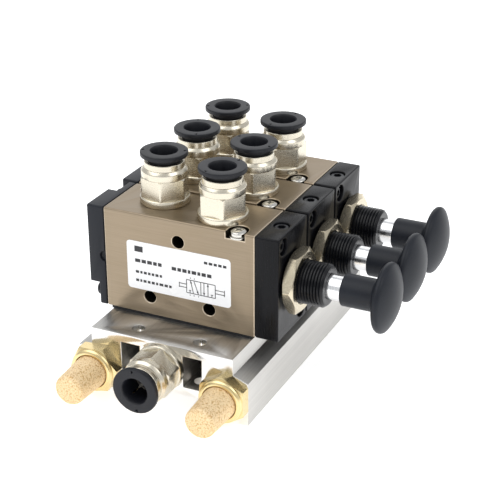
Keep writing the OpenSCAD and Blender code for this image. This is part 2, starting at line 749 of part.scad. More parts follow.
module coil_spring(h) {
    count = SPRING_TURNS * SPRING_STEPS;
    rise = (h - spring_wire_d) / SPRING_TURNS;
    points = [for (s = [0 : count], p = wire_ring(360 * s / SPRING_STEPS, rise)) p];
    sides = [for (s = [0 : count - 1], k = [0 : SPRING_SIDES - 1])
        let (n = (k + 1) % SPRING_SIDES, a = s * SPRING_SIDES, b = a + SPRING_SIDES)
        [a + k, b + k, b + n, a + n]];
    low_end = [for (k = [0 : SPRING_SIDES - 1]) k];
    top_end = [for (k = [SPRING_SIDES - 1 : -1 : 0]) count * SPRING_SIDES + k];
    translate([0, 0, spring_wire_d / 2]) polyhedron(points, concat(sides, [low_end, top_end]));
}

module detent_springs() placed() color("silver") each_station()
    translate([detent_x, body_mid_y, spring_low_z]) coil_spring(set_screw_z - spring_low_z - TOUCH);

module spool(i) placed() station(i) color("#c8c8c8") difference() {
    union() {
        on_spool_axis(spool_rear_x) cylinder(d = spool_waist_d, h = spool_front_x - spool_rear_x);
        for (x = LANDS) on_spool_axis(port_x + x - land_w / 2) cylinder(r = land_r, h = land_w);
    }
    for (x = LANDS) on_spool_axis(port_x + x - seal_groove_w / 2) difference() {
        cylinder(r = bore_r, h = seal_groove_w);
        translate([0, 0, -CUT]) cylinder(r = seal_out_r - spool_seal_t - TOUCH, h = seal_groove_w + 2 * CUT);
    }
    on_spool_axis(spool_front_x - spigot_l) cylinder(r = spigot_r + thread_gap, h = spigot_l + CUT);
}

module spool_seals(i) placed() station(i) color("#151515")
    for (x = LANDS) on_spool_axis(port_x + x) seal_ring(seal_out_r, spool_seal_t);

module pull_rod(i) placed() station(i) color("#e4e4e2") {
    rod_end_x = knob_x + knob_socket_l;
    spigot_x = spool_front_x - spigot_l + socket_end_gap;
    waist_low = detent_x - waist_room;
    waist_high = detent_x + stroke + waist_room;
    on_spool_axis(0) rotate_extrude() polygon([
        [0, spigot_x], [spigot_r, spigot_x], [spigot_r, spool_front_x], [rod_r, spool_front_x],
        [rod_r, waist_low - waist_depth], [waist_r, waist_low],
        [waist_r, waist_high], [rod_r, waist_high + waist_depth],
        [rod_r, rod_end_x - rod_chamfer], [rod_r - rod_chamfer, rod_end_x], [0, rod_end_x]
    ]);
}

// Half section of the knob, with its axis upright: the neck, the flared back and the dome
module knob_section() {
    knob_r = knob_d / 2;
    neck_r = knob_neck_d / 2;
    neck_chamfer = 0.5;
    neck_flare = 1;
    back_r = knob_r - knob_rim_r;
    rim_y = knob_neck_l + knob_back_t;
    dome_r = (knob_r * knob_r + knob_dome_h * knob_dome_h) / (2 * knob_dome_h);
    polygon([
        [0, 0], [neck_r - neck_chamfer, 0], [neck_r, neck_chamfer], [neck_r, knob_neck_l - neck_flare],
        [neck_r + neck_flare, knob_neck_l], [back_r, rim_y - knob_rim_r], [back_r, rim_y], [0, rim_y]
    ]);
    translate([back_r, rim_y]) circle(knob_rim_r);
    intersection() {
        translate([0, rim_y + knob_dome_h - dome_r]) circle(dome_r, $fn = 128);
        translate([0, rim_y]) square([knob_r - knob_rim_r / 2, knob_dome_h]);
    }
}

module pull_knob(i) placed() station(i) color("#30343c") on_spool_axis(knob_x) difference() {
    rotate_extrude() knob_section();
    translate([0, 0, -CUT]) cylinder(r = rod_r + running_gap, h = knob_socket_l + socket_end_gap + CUT);
}

module valve_screws() placed() color("#d8d8d4") each_station() for (p = VALVE_SCREWS)
    translate([p[0], p[1], notch_floor_z]) {
        difference() {
            cylinder(d = washer_d, h = washer_t);
            translate([0, 0, -CUT]) cylinder(r = valve_screw_d / 2 + thread_gap, h = washer_t + 2 * CUT);
        }
        translate([0, 0, washer_t]) cross_screw();
        shank_l = body_h - notch_depth + washer_t - deck_z + valve_screw_grip;
        translate([0, 0, washer_t - shank_l]) cylinder(d = valve_screw_d, h = shank_l);
    }

// Push-in fitting, drawn upwards from the face that it seats on
module fitting_shape() {
    seat_r = seat_d / 2;
    seat_chamfer = 0.9;
    edge = 0.3;
    shoulder_r = shoulder_d / 2;
    shoulder_edge = 0.5;
    neck_r = neck_d / 2;
    difference() {
        union() {
            translate([0, 0, -fitting_thread_l]) cylinder(r = shank_r, h = fitting_thread_l);
            rotate_extrude() polygon([
                [0, 0], [seat_r - edge, 0], [seat_r, edge], [seat_r, seat_t - shoulder_edge],
                [seat_r - seat_chamfer, seat_t], [0, seat_t]
            ]);
            translate([0, 0, seat_t]) chamfered_hex(fitting_af, fitting_hex_h, shoulder_edge, seat_chamfer);
            rotate_extrude() polygon([
                [0, hex_top], [shoulder_r, hex_top], [shoulder_r, hex_top + shoulder_h / 2],
                [shoulder_r - shoulder_edge, shoulder_top - shoulder_edge], [neck_r + edge, shoulder_top],
                [neck_r, shoulder_top], [neck_r, neck_top - edge], [neck_r - edge, neck_top], [0, neck_top]
            ]);
        }
        translate([0, 0, -fitting_thread_l - CUT]) cylinder(d = flow_d, h = fitting_thread_l + CUT);
        translate([0, 0, tube_stop]) cylinder(r = tube_bore_r, h = neck_top);
        translate([0, 0, seal_low]) cylinder(r = seal_room_r, h = grip_low + grip_t + grip_room - seal_low);
        translate([0, 0, grip_low]) cylinder(r = mouth_bore_r, h = neck_top);
    }
}

module release_ring_shape() {
    ring_r = ring_d / 2;
    mouth_r = ring_mouth_d / 2;
    edge = 0.4;
    underside = 0.7;
    lead_in = 0.7;
    rotate_extrude() polygon([
        [sleeve_in_r, sleeve_low], [sleeve_out_r, sleeve_low], [sleeve_out_r, ring_low],
        [ring_low_d / 2, ring_low], [ring_r, ring_low + underside], [ring_r, ring_top - edge],
        [ring_r - edge, ring_top],
        [mouth_r, ring_top], [sleeve_in_r, ring_top - lead_in]
    ]);
}

module grip_ring_shape() {
    translate([0, 0, grip_low]) difference() {
        cylinder(r = seal_room_r - seal_end_gap, h = grip_t);
        translate([0, 0, -CUT]) cylinder(r = sleeve_in_r, h = grip_t + 2 * CUT);
        for (k = [0 : GRIP_TEETH - 1]) rotate(360 * k / GRIP_TEETH)
            translate([0, -tooth_gap / 2, -CUT])
                cube([mouth_bore_r - tooth_gap, tooth_gap, grip_t + 2 * CUT]);
    }
}

module tube_seal_shape() {
    translate([0, 0, (seal_low + seal_top) / 2]) seal_ring(seal_room_r - TOUCH, tube_seal_t - 2 * TOUCH);
}

module on_top_port(i, place) station(i) translate([place[0], place[1], body_h]) children();

module on_supply_port() on_port_face(base_mid_x, supply_z) children();

// The same piece at all six top ports and at the supply port
module at_every_fitting() {
    for (i = [1 : STATIONS], place = [PORT_A, PORT_B]) on_top_port(i, place) children();
    on_supply_port() children();
}

// The hexagons were tightened to different angles
module top_fitting(i, place, turn) placed() color("#cfc9b8")
    on_top_port(i, place) rotate(turn) fitting_shape();

module supply_fitting() placed() color("#cfc9b8") on_supply_port() rotate(18) fitting_shape();

module top_release_ring(i, place) placed() color("#2c2e36") on_top_port(i, place) release_ring_shape();

module supply_release_ring() placed() color("#2c2e36") on_supply_port() release_ring_shape();

module grip_rings() placed() color("silver") at_every_fitting() grip_ring_shape();

module tube_seals() placed() color("#151515") at_every_fitting() tube_seal_shape();

module muffler_body(side, turn) placed() color("#d9b65c")
    on_port_face(base_mid_x + side * exhaust_x, exhaust_z) difference() {
        rim_r = muffler_af / 2;
        round_y = muffler_rim_y - muffler_rim_round;
        seat_r = element_d / 2 + element_gap;
        union() {
            translate([0, 0, -muffler_thread_l]) cylinder(r = shank_r, h = muffler_thread_l);
            rotate(turn) chamfered_hex(muffler_af, muffler_hex_l, 0.2, muffler_top_chamfer);
            rotate_extrude() {
                translate([0, muffler_hex_l - rim_overlap])
                    square([rim_r, round_y - muffler_hex_l + rim_overlap]);
                square([rim_r - muffler_rim_round, muffler_rim_y]);
                translate([rim_r - muffler_rim_round, round_y]) circle(muffler_rim_round, $fn = FIT_FN);
            }
        }
        translate([0, 0, -muffler_thread_l - CUT])
            cylinder(r = shank_r - shank_wall, h = muffler_thread_l + muffler_rim_y);
        translate([0, 0, muffler_rim_y - element_seat]) cylinder(r = seat_r, h = element_seat + CUT);
        translate([0, 0, muffler_rim_y - mouth_chamfer])
            cylinder(r1 = seat_r, r2 = seat_r + mouth_chamfer + TOUCH, h = mouth_chamfer + TOUCH);
    }

module muffler_element(side) placed() color("#e3c38f")
    on_port_face(base_mid_x + side * exhaust_x, exhaust_z) {
        foot_y = muffler_rim_y - element_seat + element_gap;
        tip_y = muffler_rim_y + element_reach;
        foot_r = element_d / 2;
        tip_r = element_tip_d / 2;
        round_y = tip_y - element_tip_r;
        hollow_y = tip_y - 1.5 * element_wall;
        rotate_extrude() difference() {
            union() {
                polygon([
                    [0, foot_y], [foot_r, foot_y], [foot_r, muffler_rim_y],
                    [tip_r, round_y], [0, round_y]
                ]);
                translate([0, foot_y]) square([tip_r - element_tip_r, tip_y - foot_y]);
                translate([tip_r - element_tip_r, round_y]) circle(element_tip_r, $fn = FIT_FN);
            }
            polygon([
                [-CUT, foot_y - CUT], [foot_r - element_wall, foot_y - CUT],
                [tip_r - element_wall, hollow_y], [-CUT, hollow_y]
            ]);
        }
    }

module end_plugs() placed() color("#8a8a86") for (place = [
    [base_mid_x, supply_z], [base_mid_x - exhaust_x, exhaust_z], [base_mid_x + exhaust_x, exhaust_z]
]) translate([place[0], base_back_y - plug_recess, place[1]]) rotate([90, 0, 0]) difference() {
    cylinder(r = shank_r, h = plug_l);
    translate([0, 0, -CUT]) cylinder(d = plug_socket_af / cos(30), h = plug_socket_depth + CUT, $fn = 6);
}

manifold_base();
valve_gaskets();
valve_body(1);  // valve_body_1
valve_body(2);  // valve_body_2
valve_body(3);  // valve_body_3
valve_labels();
rear_cap(1);  // rear_cap_1
rear_cap(2);  // rear_cap_2
rear_cap(3);  // rear_cap_3
cap_gaskets();
rear_cap_screws();
front_cover_screws();
spool_bumpers();
front_cover(1);  // front_cover_1
front_cover(2);  // front_cover_2
front_cover(3);  // front_cover_3
threaded_collar(1);  // threaded_collar_1
threaded_collar(2);  // threaded_collar_2
threaded_collar(3);  // threaded_collar_3
lock_nut(1);  // lock_nut_1
lock_nut(2);  // lock_nut_2
lock_nut(3);  // lock_nut_3
rod_seals();
detent_set_screws();
detent_springs();
detent_balls();
spool(1);  // spool_1
spool(2);  // spool_2
spool(3);  // spool_3
spool_seals(1);  // spool_seals_1
spool_seals(2);  // spool_seals_2
spool_seals(3);  // spool_seals_3
pull_rod(1);  // pull_rod_1
pull_rod(2);  // pull_rod_2
pull_rod(3);  // pull_rod_3
pull_knob(1);  // pull_knob_1
pull_knob(2);  // pull_knob_2
pull_knob(3);  // pull_knob_3
valve_screws();
top_fitting(1, PORT_A, 47);  // fitting_1a
top_fitting(1, PORT_B, 56);  // fitting_1b
top_fitting(2, PORT_A, 1);  // fitting_2a
top_fitting(2, PORT_B, 52);  // fitting_2b
top_fitting(3, PORT_A, 1);  // fitting_3a
top_fitting(3, PORT_B, 32);  // fitting_3b
supply_fitting();  // fitting_supply
top_release_ring(1, PORT_A);  // release_ring_1a
top_release_ring(1, PORT_B);  // release_ring_1b
top_release_ring(2, PORT_A);  // release_ring_2a
top_release_ring(2, PORT_B);  // release_ring_2b
top_release_ring(3, PORT_A);  // release_ring_3a
top_release_ring(3, PORT_B);  // release_ring_3b
supply_release_ring();  // release_ring_supply
grip_rings();
tube_seals();
muffler_body(-1, 35);  // muffler_body_left
muffler_body(1, 0);  // muffler_body_right
muffler_element(-1);  // muffler_element_left
muffler_element(1);  // muffler_element_right
end_plugs();
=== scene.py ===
import math

import bmesh
import bpy
from mathutils import Matrix, Vector


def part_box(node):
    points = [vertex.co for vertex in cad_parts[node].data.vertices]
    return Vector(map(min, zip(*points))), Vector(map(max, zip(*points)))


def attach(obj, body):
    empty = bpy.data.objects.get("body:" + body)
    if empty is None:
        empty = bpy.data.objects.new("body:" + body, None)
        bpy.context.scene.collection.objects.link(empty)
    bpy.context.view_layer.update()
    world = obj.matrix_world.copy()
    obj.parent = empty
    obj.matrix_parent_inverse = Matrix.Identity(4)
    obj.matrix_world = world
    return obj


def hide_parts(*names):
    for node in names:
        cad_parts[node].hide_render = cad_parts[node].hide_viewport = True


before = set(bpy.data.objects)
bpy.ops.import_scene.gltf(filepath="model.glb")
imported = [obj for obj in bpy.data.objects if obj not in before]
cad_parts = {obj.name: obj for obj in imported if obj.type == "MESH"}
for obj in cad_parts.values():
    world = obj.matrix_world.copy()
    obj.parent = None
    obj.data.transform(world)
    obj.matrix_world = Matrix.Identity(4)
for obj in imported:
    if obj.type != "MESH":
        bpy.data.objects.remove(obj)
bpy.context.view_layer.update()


# ---------------------------------------------------------------- Manifold base
# A bar of extruded 6063 aluminium, sawn to length. Its deck and both ends are milled
# bright, its sides keep the long fine lines of the die, and every cut edge is broken by
# a small chamfer, so that each edge and hole rim catches the light.

MM = 0.001
SHARP = math.radians(30)
NEAR = 0.01 * MM


def linear(code):
    """The sRGB colour #RRGGBB as the linear values that a shader takes."""
    parts = [int(code[k:k + 2], 16) / 255 for k in (1, 3, 5)]
    return [p / 12.92 if p <= 0.04045 else ((p + 0.055) / 1.055) ** 2.4 for p in parts] + [1]


def add_node(tree, kind, inputs, **settings):
    """Adds a shader node with its settings; an input is a value or another node's output."""
    node = tree.nodes.new("ShaderNode" + kind)
    for name, value in settings.items():
        setattr(node, name, value)
    for name, value in inputs.items():
        if isinstance(value, bpy.types.NodeSocket):
            tree.links.new(value, node.inputs[name])
        else:
            node.inputs[name].default_value = value
    return node


def surface(name, tones, gloss, grain, relief, metallic=0.0, follows="Object", shine=0.5):
    """A finish whose colour, roughness and height follow one grain.

    tones are its colours and gloss its roughness at the grain's low and high, grain its
    size in mm along X, Y and Z, and relief its height in mm. It follows Object places, a
    piece's own_place, or lathe: rings round the piece's own axis. shine is how much of the
    usual reflection a fine-grained plastic skin gives back.
    """
    material = bpy.data.materials.new(name)
    material.use_nodes = True
    tree = material.node_tree
    shader = tree.nodes["Principled BSDF"]
    shader.inputs["Metallic"].default_value = metallic
    shader.inputs["Specular IOR Level"].default_value = shine
    if follows == "Object":
        place = add_node(tree, "TexCoord", {}).outputs["Object"]
    else:
        place = add_node(tree, "Attribute", {}, attribute_name="own_place").outputs["Vector"]
    along = place
    if follows == "lathe":
        split = add_node(tree, "SeparateXYZ", {0: place})
        flat = add_node(tree, "CombineXYZ", {"X": split.outputs["X"], "Y": split.outputs["Y"]})
        radius = add_node(tree, "VectorMath", {0: flat.outputs[0]}, operation="LENGTH").outputs["Value"]
        along = add_node(tree, "CombineXYZ", {"X": radius, "Z": split.outputs["Z"]}).outputs[0]
    scaled = add_node(tree, "Mapping", {"Vector": along, "Scale": [1 / (size * MM) for size in grain]})
    fine = add_node(tree, "TexNoise", {"Vector": scaled.outputs[0], "Scale": 1, "Detail": 3,
                                       "Roughness": 0.6})
    broad_size = 14 * MM
    broad = add_node(tree, "TexNoise", {"Vector": place, "Scale": 1 / broad_size, "Detail": 2})
    both = add_node(tree, "Mix", {0: 0.3, 2: fine.outputs[0], 3: broad.outputs[0]}, data_type="FLOAT")
    level = add_node(tree, "MapRange", {"Value": both.outputs[0], "From Min": 0.34, "From Max": 0.66})
    tone = add_node(tree, "Mix", {0: level.outputs[0], 6: linear(tones[0]), 7: linear(tones[1])},
                    data_type="RGBA", name="tone")
    rough = add_node(tree, "MapRange", {"Value": level.outputs[0], "To Min": gloss[0], "To Max": gloss[1]})
    bump = add_node(tree, "Bump", {"Height": fine.outputs[0], "Distance": relief * MM, "Strength": 1})
    tree.links.new(tone.outputs[2], shader.inputs["Base Color"])
    tree.links.new(rough.outputs[0], shader.inputs["Roughness"])
    tree.links.new(bump.outputs[0], shader.inputs["Normal"])
    return material


def work_on(piece):
    """Makes the piece the only one selected."""
    bpy.ops.object.select_all(action="DESELECT")
    bpy.context.view_layer.objects.active = piece
    piece.select_set(True)


def choose(piece, kind, test):
    """Opens edit mode with just those vertices, edges or faces selected that pass the test."""
    work_on(piece)
    bpy.ops.object.mode_set(mode="EDIT")
    bpy.ops.mesh.select_mode(type=kind)
    bpy.ops.mesh.select_all(action="DESELECT")
    shape = bmesh.from_edit_mesh(piece.data)
    for part in {"VERT": shape.verts, "EDGE": shape.edges, "FACE": shape.faces}[kind]:
        part.select_set(test(part))
    shape.select_flush_mode()
    bmesh.update_edit_mesh(piece.data)


def leave_edit():
    bpy.ops.object.mode_set(mode="OBJECT")


def cad_copy(name, node):
    """A copy of a CAD node with its loose triangles merged and its flat faces made whole."""
    piece = bpy.data.objects.new(name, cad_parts[node].data.copy())
    bpy.context.scene.collection.objects.link(piece)
    piece.data.materials.clear()
    choose(piece, "FACE", lambda face: True)
    bpy.ops.mesh.remove_doubles(threshold=0.001 * MM)
    bpy.ops.mesh.dissolve_limited(angle_limit=math.radians(1))
    bpy.ops.mesh.customdata_custom_splitnormals_clear()
    leave_edit()
    return piece


def break_edges(piece, test, width, segments=3, **more):
    """Rounds the edges that pass the test, with an even width in mm whatever meets them."""
    choose(piece, "EDGE", test)
    bpy.ops.mesh.bevel(offset=width * MM, segments=segments, loop_slide=False, **more)
    leave_edit()


def on_skin(low, high, long_edge=math.inf):
    """A test for sharp edges in one of the six faces of a box, or longer than long_edge."""
    def test(edge):
        ends = [vert.co for vert in edge.verts]
        in_face = any(all(abs(end[axis] - side[axis]) < NEAR for end in ends)
                      for axis in range(3) for side in (low, high))
        return edge.calc_face_angle(0) > SHARP and (in_face or edge.calc_length() > long_edge)
    return test


def give(piece, material, test=None):
    """Adds a material to the piece, for all its faces or for those that pass the test."""
    piece.data.materials.append(material)
    if test:
        slot = len(piece.data.materials) - 1
        for face in piece.data.polygons:
            if test(face):
                face.material_index = slot


def fasten(piece, body, slot, *nodes):
    """Shades the finished piece, hangs it on the body it moves with and hides the CAD nodes it stands for;
    slot, its finish, is not used.
    """
    work_on(piece)
    bpy.ops.object.shade_smooth_by_angle(angle=SHARP)
    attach(piece, body)
    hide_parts(*nodes)


def finish_nodes(material, *nodes):
    """Gives CAD nodes that stay as they are their finish."""
    for node in nodes:
        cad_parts[node].data.materials.clear()
        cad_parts[node].data.materials.append(material)


# Extruded aluminium: die lines a metre long and a few hundredths wide, so only grey streaks
# along the bar show; they are drawn 0.4 mm wide, as fine as the eye can part here.
extruded = surface("extruded_aluminium", ("#C2C0BC", "#D2D0CC"), (0.32, 0.42), (0.4, 60, 0.4), 0.003, 1)
# Face-milled aluminium: nearly a mirror, with the cutter's faint sweep across the bar.
milled = surface("milled_aluminium", ("#D8D6D2", "#EFEEEB"), (0.13, 0.22), (30, 0.5, 8), 0.002, 1)

base_low, base_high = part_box("manifold_base")
base = cad_copy("base_bar", "manifold_base")
give(base, extruded)
break_edges(base, on_skin(base_low, base_high, long_edge=50 * MM), 0.22, segments=2)
give(base, milled, lambda face: abs(face.normal.y) > 0.9)
fasten(base, "root", "base_aluminium", "manifold_base")


# ---------------------------------------------------------------- End plugs
# Hexagon-socket pipe plugs of zinc-plated steel that close the three channels at the back
# end. They are turned, broached for the key and screwed in just below the face.

plated_steel = surface("zinc_plated_steel", ("#8F9092", "#B9BABC"), (0.28, 0.4), (0.6, 0.6, 0.6), 0.004, 1)

plugs = cad_copy("channel_plugs", "end_plugs")
give(plugs, plated_steel)
break_edges(plugs, on_skin(*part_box("end_plugs")), 0.3, segments=2)
fasten(plugs, "root", "plug_steel", "end_plugs")


# ---------------------------------------------------------------- Gaskets
# Flat seals stamped from nitrile rubber sheet: a thick one under each valve and a thin
# one behind each cap. Only their dull black edges show, between the metal faces.

rubber = surface("nitrile_rubber", ("#111213", "#1D1E20"), (0.6, 0.75), (0.3, 0.3, 0.3), 0.01)
finish_nodes(rubber, "valve_gaskets", "cap_gaskets")


# ---------------------------------------------------------------- Valve bodies
# Blocks of aluminium, milled on all sides, brushed along their length and anodised to a light
# bronze. The brushing is finest along the edges, and the rounded corner is painted brighter as a highlight.

BRUSHED = (12, 0.2, 0.2)
anodised = surface("bronze_anodised_aluminium", ("#8F816D", "#9C8D79"), (0.34, 0.44), BRUSHED, 0.003, 1)
# The rounded edge is painted brighter than the faces: a painted highlight along each edge.
anodised_edge_painted_highlight = surface("anodised_edge_painted_highlight", ("#BFAF98", "#D6C8B3"), (0.28, 0.36), BRUSHED, 0.002, 1)
# Drilled and cut faces inside the blocks are dull, and they are painted dark: a painted shade for the little
# light that gets in to them.
recess_shade = surface("recess_painted_shade", ("#2A2620", "#39342C"), (0.55, 0.7), (0.3, 0.3, 0.3), 0.006, 1)


def inside(low, high, depth):
    """A test for faces that lie deeper than this many mm within a box."""
    def test(face):
        return all(low[axis] + depth * MM < face.center[axis] < high[axis] - depth * MM for axis in range(3))
    return test


def moved_copy(pattern, name, place):
    """A copy with a mesh of its own, carried by a matrix."""
    piece = bpy.data.objects.new(name, pattern.data.copy())
    bpy.context.scene.collection.objects.link(piece)
    piece.data.transform(place)
    return piece


def from_first(node, i):
    """How station i's node lies from station 1's."""
    return Matrix.Translation(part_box(f"{node}_{i}")[0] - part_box(f"{node}_1")[0])


body_low, body_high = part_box("valve_body_1")
block = cad_copy("valve_block_1", "valve_body_1")
give(block, anodised)
give(block, anodised_edge_painted_highlight)
# The bevel's new faces take the painted edge highlight.
break_edges(block, on_skin(body_low, body_high), 0.28, material=1)
# Faces deep inside the block take the painted shade.
give(block, recess_shade, inside(body_low, body_high, 0.45))
for i in (1, 2, 3):
    piece = block if i == 1 else moved_copy(block, f"valve_block_{i}", from_first("valve_body", i))
    fasten(piece, "root", "body_anodised", f"valve_body_{i}")


# ---------------------------------------------------------------- Rating labels
# A white polyester film label on the side of each body, printed in one black ink: plain
# rules where a maker's particulars would stand, and the drawn symbol of the valve.

film = surface("polyester_film", ("#F5F5F6", "#FAFAFA"), (0.22, 0.3), (3, 3, 3), 0.001)
ink = surface("screen_ink", ("#1B1B1E", "#2E2E33"), (0.4, 0.5), (0.3, 0.3, 0.3), 0.001)
finish_nodes(film, "valve_labels")

label_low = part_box("valve_labels")[0]
INK_T = 0.02 * MM
LINE = 0.26

# Rules in place of words: left end, middle height, rule's thickness, and each rule's length, in mm
RULES = [
    (2.8, 14.2, 2.0, (3.0,)), (27.6, 14.1, 0.9, (1.2, 1.3, 1.1, 1.2, 1.2)),
    (2.9, 10.1, 1.2, (1.9, 1.6, 1.7, 1.3, 1.3)), (16.1, 9.8, 1.2, (1.6, 1.3, 1.5, 0.9, 1.6, 1.0, 1.5, 1.5)),
    (3.0, 6.1, 0.9, (1.2, 0.8, 1.1, 0.9, 0.9, 1.1, 0.8)),
    (3.0, 3.1, 0.9, (1.1, 0.7, 1.1, 1.0, 1.1, 0.8, 1.4, 1.2, 0.9)),
]
RULE_GAP = 0.45
# The symbol: two squares side by side, a push-pull button at the left, a detent at the right
SYMBOL_X, SYMBOL_Z, SQUARE = 21.3, 2.4, 4.6
LEFT, MIDDLE, RIGHT = SYMBOL_X, SYMBOL_X + 1.1 * SQUARE, SYMBOL_X + 2.2 * SQUARE
TOP = SYMBOL_Z + SQUARE
STEM_LOW, STEM_HIGH = SYMBOL_Z + 1.7, SYMBOL_Z + 2.9
STROKES = [
    ((LEFT, SYMBOL_Z), (RIGHT, SYMBOL_Z)), ((LEFT, TOP), (RIGHT, TOP)), ((LEFT, SYMBOL_Z), (LEFT, TOP)),
    ((MIDDLE, SYMBOL_Z), (MIDDLE, TOP)), ((RIGHT, SYMBOL_Z), (RIGHT, TOP)),
    ((LEFT - 2.6, STEM_HIGH), (LEFT, STEM_HIGH)), ((LEFT - 2.6, STEM_LOW), (LEFT, STEM_LOW)),
    ((LEFT - 2.6, STEM_LOW - 0.3), (LEFT - 2.6, STEM_HIGH + 0.3)),
    ((RIGHT, STEM_HIGH), (RIGHT + 3.2, STEM_HIGH)), ((RIGHT, STEM_LOW), (RIGHT + 3.2, STEM_LOW)),
    ((RIGHT + 3.2, STEM_LOW - 0.5), (RIGHT + 3.2, STEM_HIGH + 0.5)),
    ((LEFT + 0.8, SYMBOL_Z + 0.9), (LEFT + 1.6, SYMBOL_Z + 0.9)),
    ((LEFT + 1.2, SYMBOL_Z), (LEFT + 1.2, SYMBOL_Z + 0.9)),
    ((RIGHT - 1.6, SYMBOL_Z + 0.9), (RIGHT - 0.8, SYMBOL_Z + 0.9)),
    ((RIGHT - 1.2, SYMBOL_Z), (RIGHT - 1.2, SYMBOL_Z + 0.9)),
]
ARROWS = [
    ((LEFT + 2.4, SYMBOL_Z), (LEFT + 1.4, TOP)), ((LEFT + 2.6, TOP), (LEFT + 4.2, SYMBOL_Z)),
    ((MIDDLE + 1.1, TOP), (MIDDLE + 1.1, SYMBOL_Z)), ((MIDDLE + 2.5, SYMBOL_Z), (MIDDLE + 2.5, TOP)),
]
# Port marks over and under the left square
for place in (1.4, 2.8):
    STROKES.append(((LEFT + place, TOP + 0.5), (LEFT + place, TOP + 0.9)))
for place in (1.2, 2.6, 4.2):
    STROKES.append(((LEFT + place, SYMBOL_Z - 0.9), (LEFT + place, SYMBOL_Z - 0.5)))


def ink_bar(first, last, width):
    """Adds a printed bar to the mesh that is open, from one place on label 1 to another, in mm."""
    run = Vector((last[0] - first[0], 0, last[1] - first[1]))
    middle = Vector((first[0] + last[0], 0, first[1] + last[1])) / 2
    place = Vector((label_low.x, label_low.y - INK_T / 2, label_low.z)) + middle * MM
    bpy.ops.mesh.primitive_cube_add(size=1, location=place, rotation=(0, -math.atan2(run.z, run.x), 0),
                                    scale=(run.length * MM, INK_T, width * MM))


def arrow_head(first, last):
    """Adds a printed arrow head whose tip is at last."""
    run = Vector((last[0] - first[0], 0, last[1] - first[1])).normalized()
    middle = Vector((last[0], 0, last[1])) - run * 0.75
    place = Vector((label_low.x, label_low.y - INK_T / 2, label_low.z)) + middle * MM
    bpy.ops.mesh.primitive_cylinder_add(vertices=3, radius=1, depth=1, location=place,
                                        rotation=(math.pi / 2, math.atan2(run.x, run.z), 0),
                                        scale=(0.42 * MM, 0.7 * MM, INK_T))


bpy.ops.object.select_all(action="DESELECT")
bpy.ops.mesh.primitive_plane_add()
print_1 = bpy.context.object
print_1.name = "label_print_1"
choose(print_1, "VERT", lambda vert: True)
bpy.ops.mesh.delete(type="VERT")
for left, height, thick, lengths in RULES:
    for length in lengths:
        ink_bar((left, height), (left + length, height), thick)
        left += length + RULE_GAP
for first, last in STROKES + ARROWS:
    ink_bar(first, last, LINE)
for first, last in ARROWS:
    arrow_head(first, last)
leave_edit()
give(print_1, ink)
for i in (1, 2, 3):
    piece = print_1 if i == 1 else moved_copy(print_1, f"label_print_{i}", from_first("valve_body", i))
    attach(piece, "root")


# ---------------------------------------------------------------- Rear caps
# Caps of glass-filled nylon, injection moulded, that close the spool bore behind. Their
# skin is satin with a fine even grain, and every outer edge has the mould's radius.

nylon = surface("moulded_black_nylon", ("#10131A", "#1A1E27"), (0.36, 0.5), (0.25, 0.25, 0.25), 0.005,
                shine=0.28)


def outside(node, clear_r):
    """A test for sharp edges farther than clear_r from the spool's axis."""
    low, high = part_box(node)
    axis = (low + high) / 2

    def test(edge):
        middle = (edge.verts[0].co + edge.verts[1].co) / 2 - axis
        return edge.calc_face_angle(0) > SHARP and math.hypot(middle.y, middle.z) > clear_r * MM
    return test


rear_cap = cad_copy("rear_cap_shell_1", "rear_cap_1")
give(rear_cap, nylon)
break_edges(rear_cap, outside("rear_cap_1", 7.5), 0.28)
for i in (1, 2, 3):
    piece = rear_cap if i == 1 else moved_copy(rear_cap, f"rear_cap_shell_{i}", from_first("rear_cap", i))
    fasten(piece, "root", "black_cap", f"rear_cap_{i}")


# ---------------------------------------------------------------- Cap screws
# M2.5 socket screws of blackened steel, two to a cap. The heads are cold-formed with a
# rolled edge and a hexagon socket, and carry a trace of oil.

black_steel = surface("blackened_steel", ("#1C1D20", "#303237"), (0.26, 0.38), (0.4, 0.4, 0.4), 0.003, 0.6)

ARC_STEPS = 5


def rounded(outline):
    """The outline's points in mm, where a corner's third value is the radius it is rounded to."""
    points = []
    for before, corner, after in zip(outline[-1:] + outline[:-1], outline, outline[1:] + outline[:1]):
        here = Vector(corner[:2])
        if len(corner) < 3:
            points.append(here)
            continue
        back = (Vector(before[:2]) - here).normalized()
        on = (Vector(after[:2]) - here).normalized()
        half = back.angle(on) / 2
        middle = here + (back + on).normalized() * corner[2] / math.sin(half)
        reach = corner[2] / math.tan(half)
        first, last = here + back * reach - middle, here + on * reach - middle
        points += [middle + first.slerp(last, k / ARC_STEPS) * corner[2] for k in range(ARC_STEPS + 1)]
    return points


def turned(name, outline, steps=72):
    """A piece turned about Z from its closed half section: radius, height and rounding, in mm."""
    points = rounded(outline)
    bpy.ops.object.select_all(action="DESELECT")
    bpy.ops.mesh.primitive_circle_add(vertices=len(points), radius=MM)
    piece = bpy.context.object
    piece.name = name
    for vert, point in zip(piece.data.vertices, points):
        vert.co = Vector((point.x, 0, point.y)) * MM
    choose(piece, "EDGE", lambda edge: all(abs(vert.co.x) < NEAR for vert in edge.verts))
    bpy.ops.mesh.delete(type="EDGE")
    bpy.ops.mesh.select_all(action="SELECT")
    bpy.ops.mesh.spin(steps=steps, angle=2 * math.pi, center=(0, 0, 0), axis=(0, 0, 1))
    bpy.ops.mesh.select_all(action="SELECT")
    bpy.ops.mesh.remove_doubles(threshold=0.001 * MM)
    bpy.ops.mesh.normals_make_consistent(inside=False)
    leave_edit()
    return piece


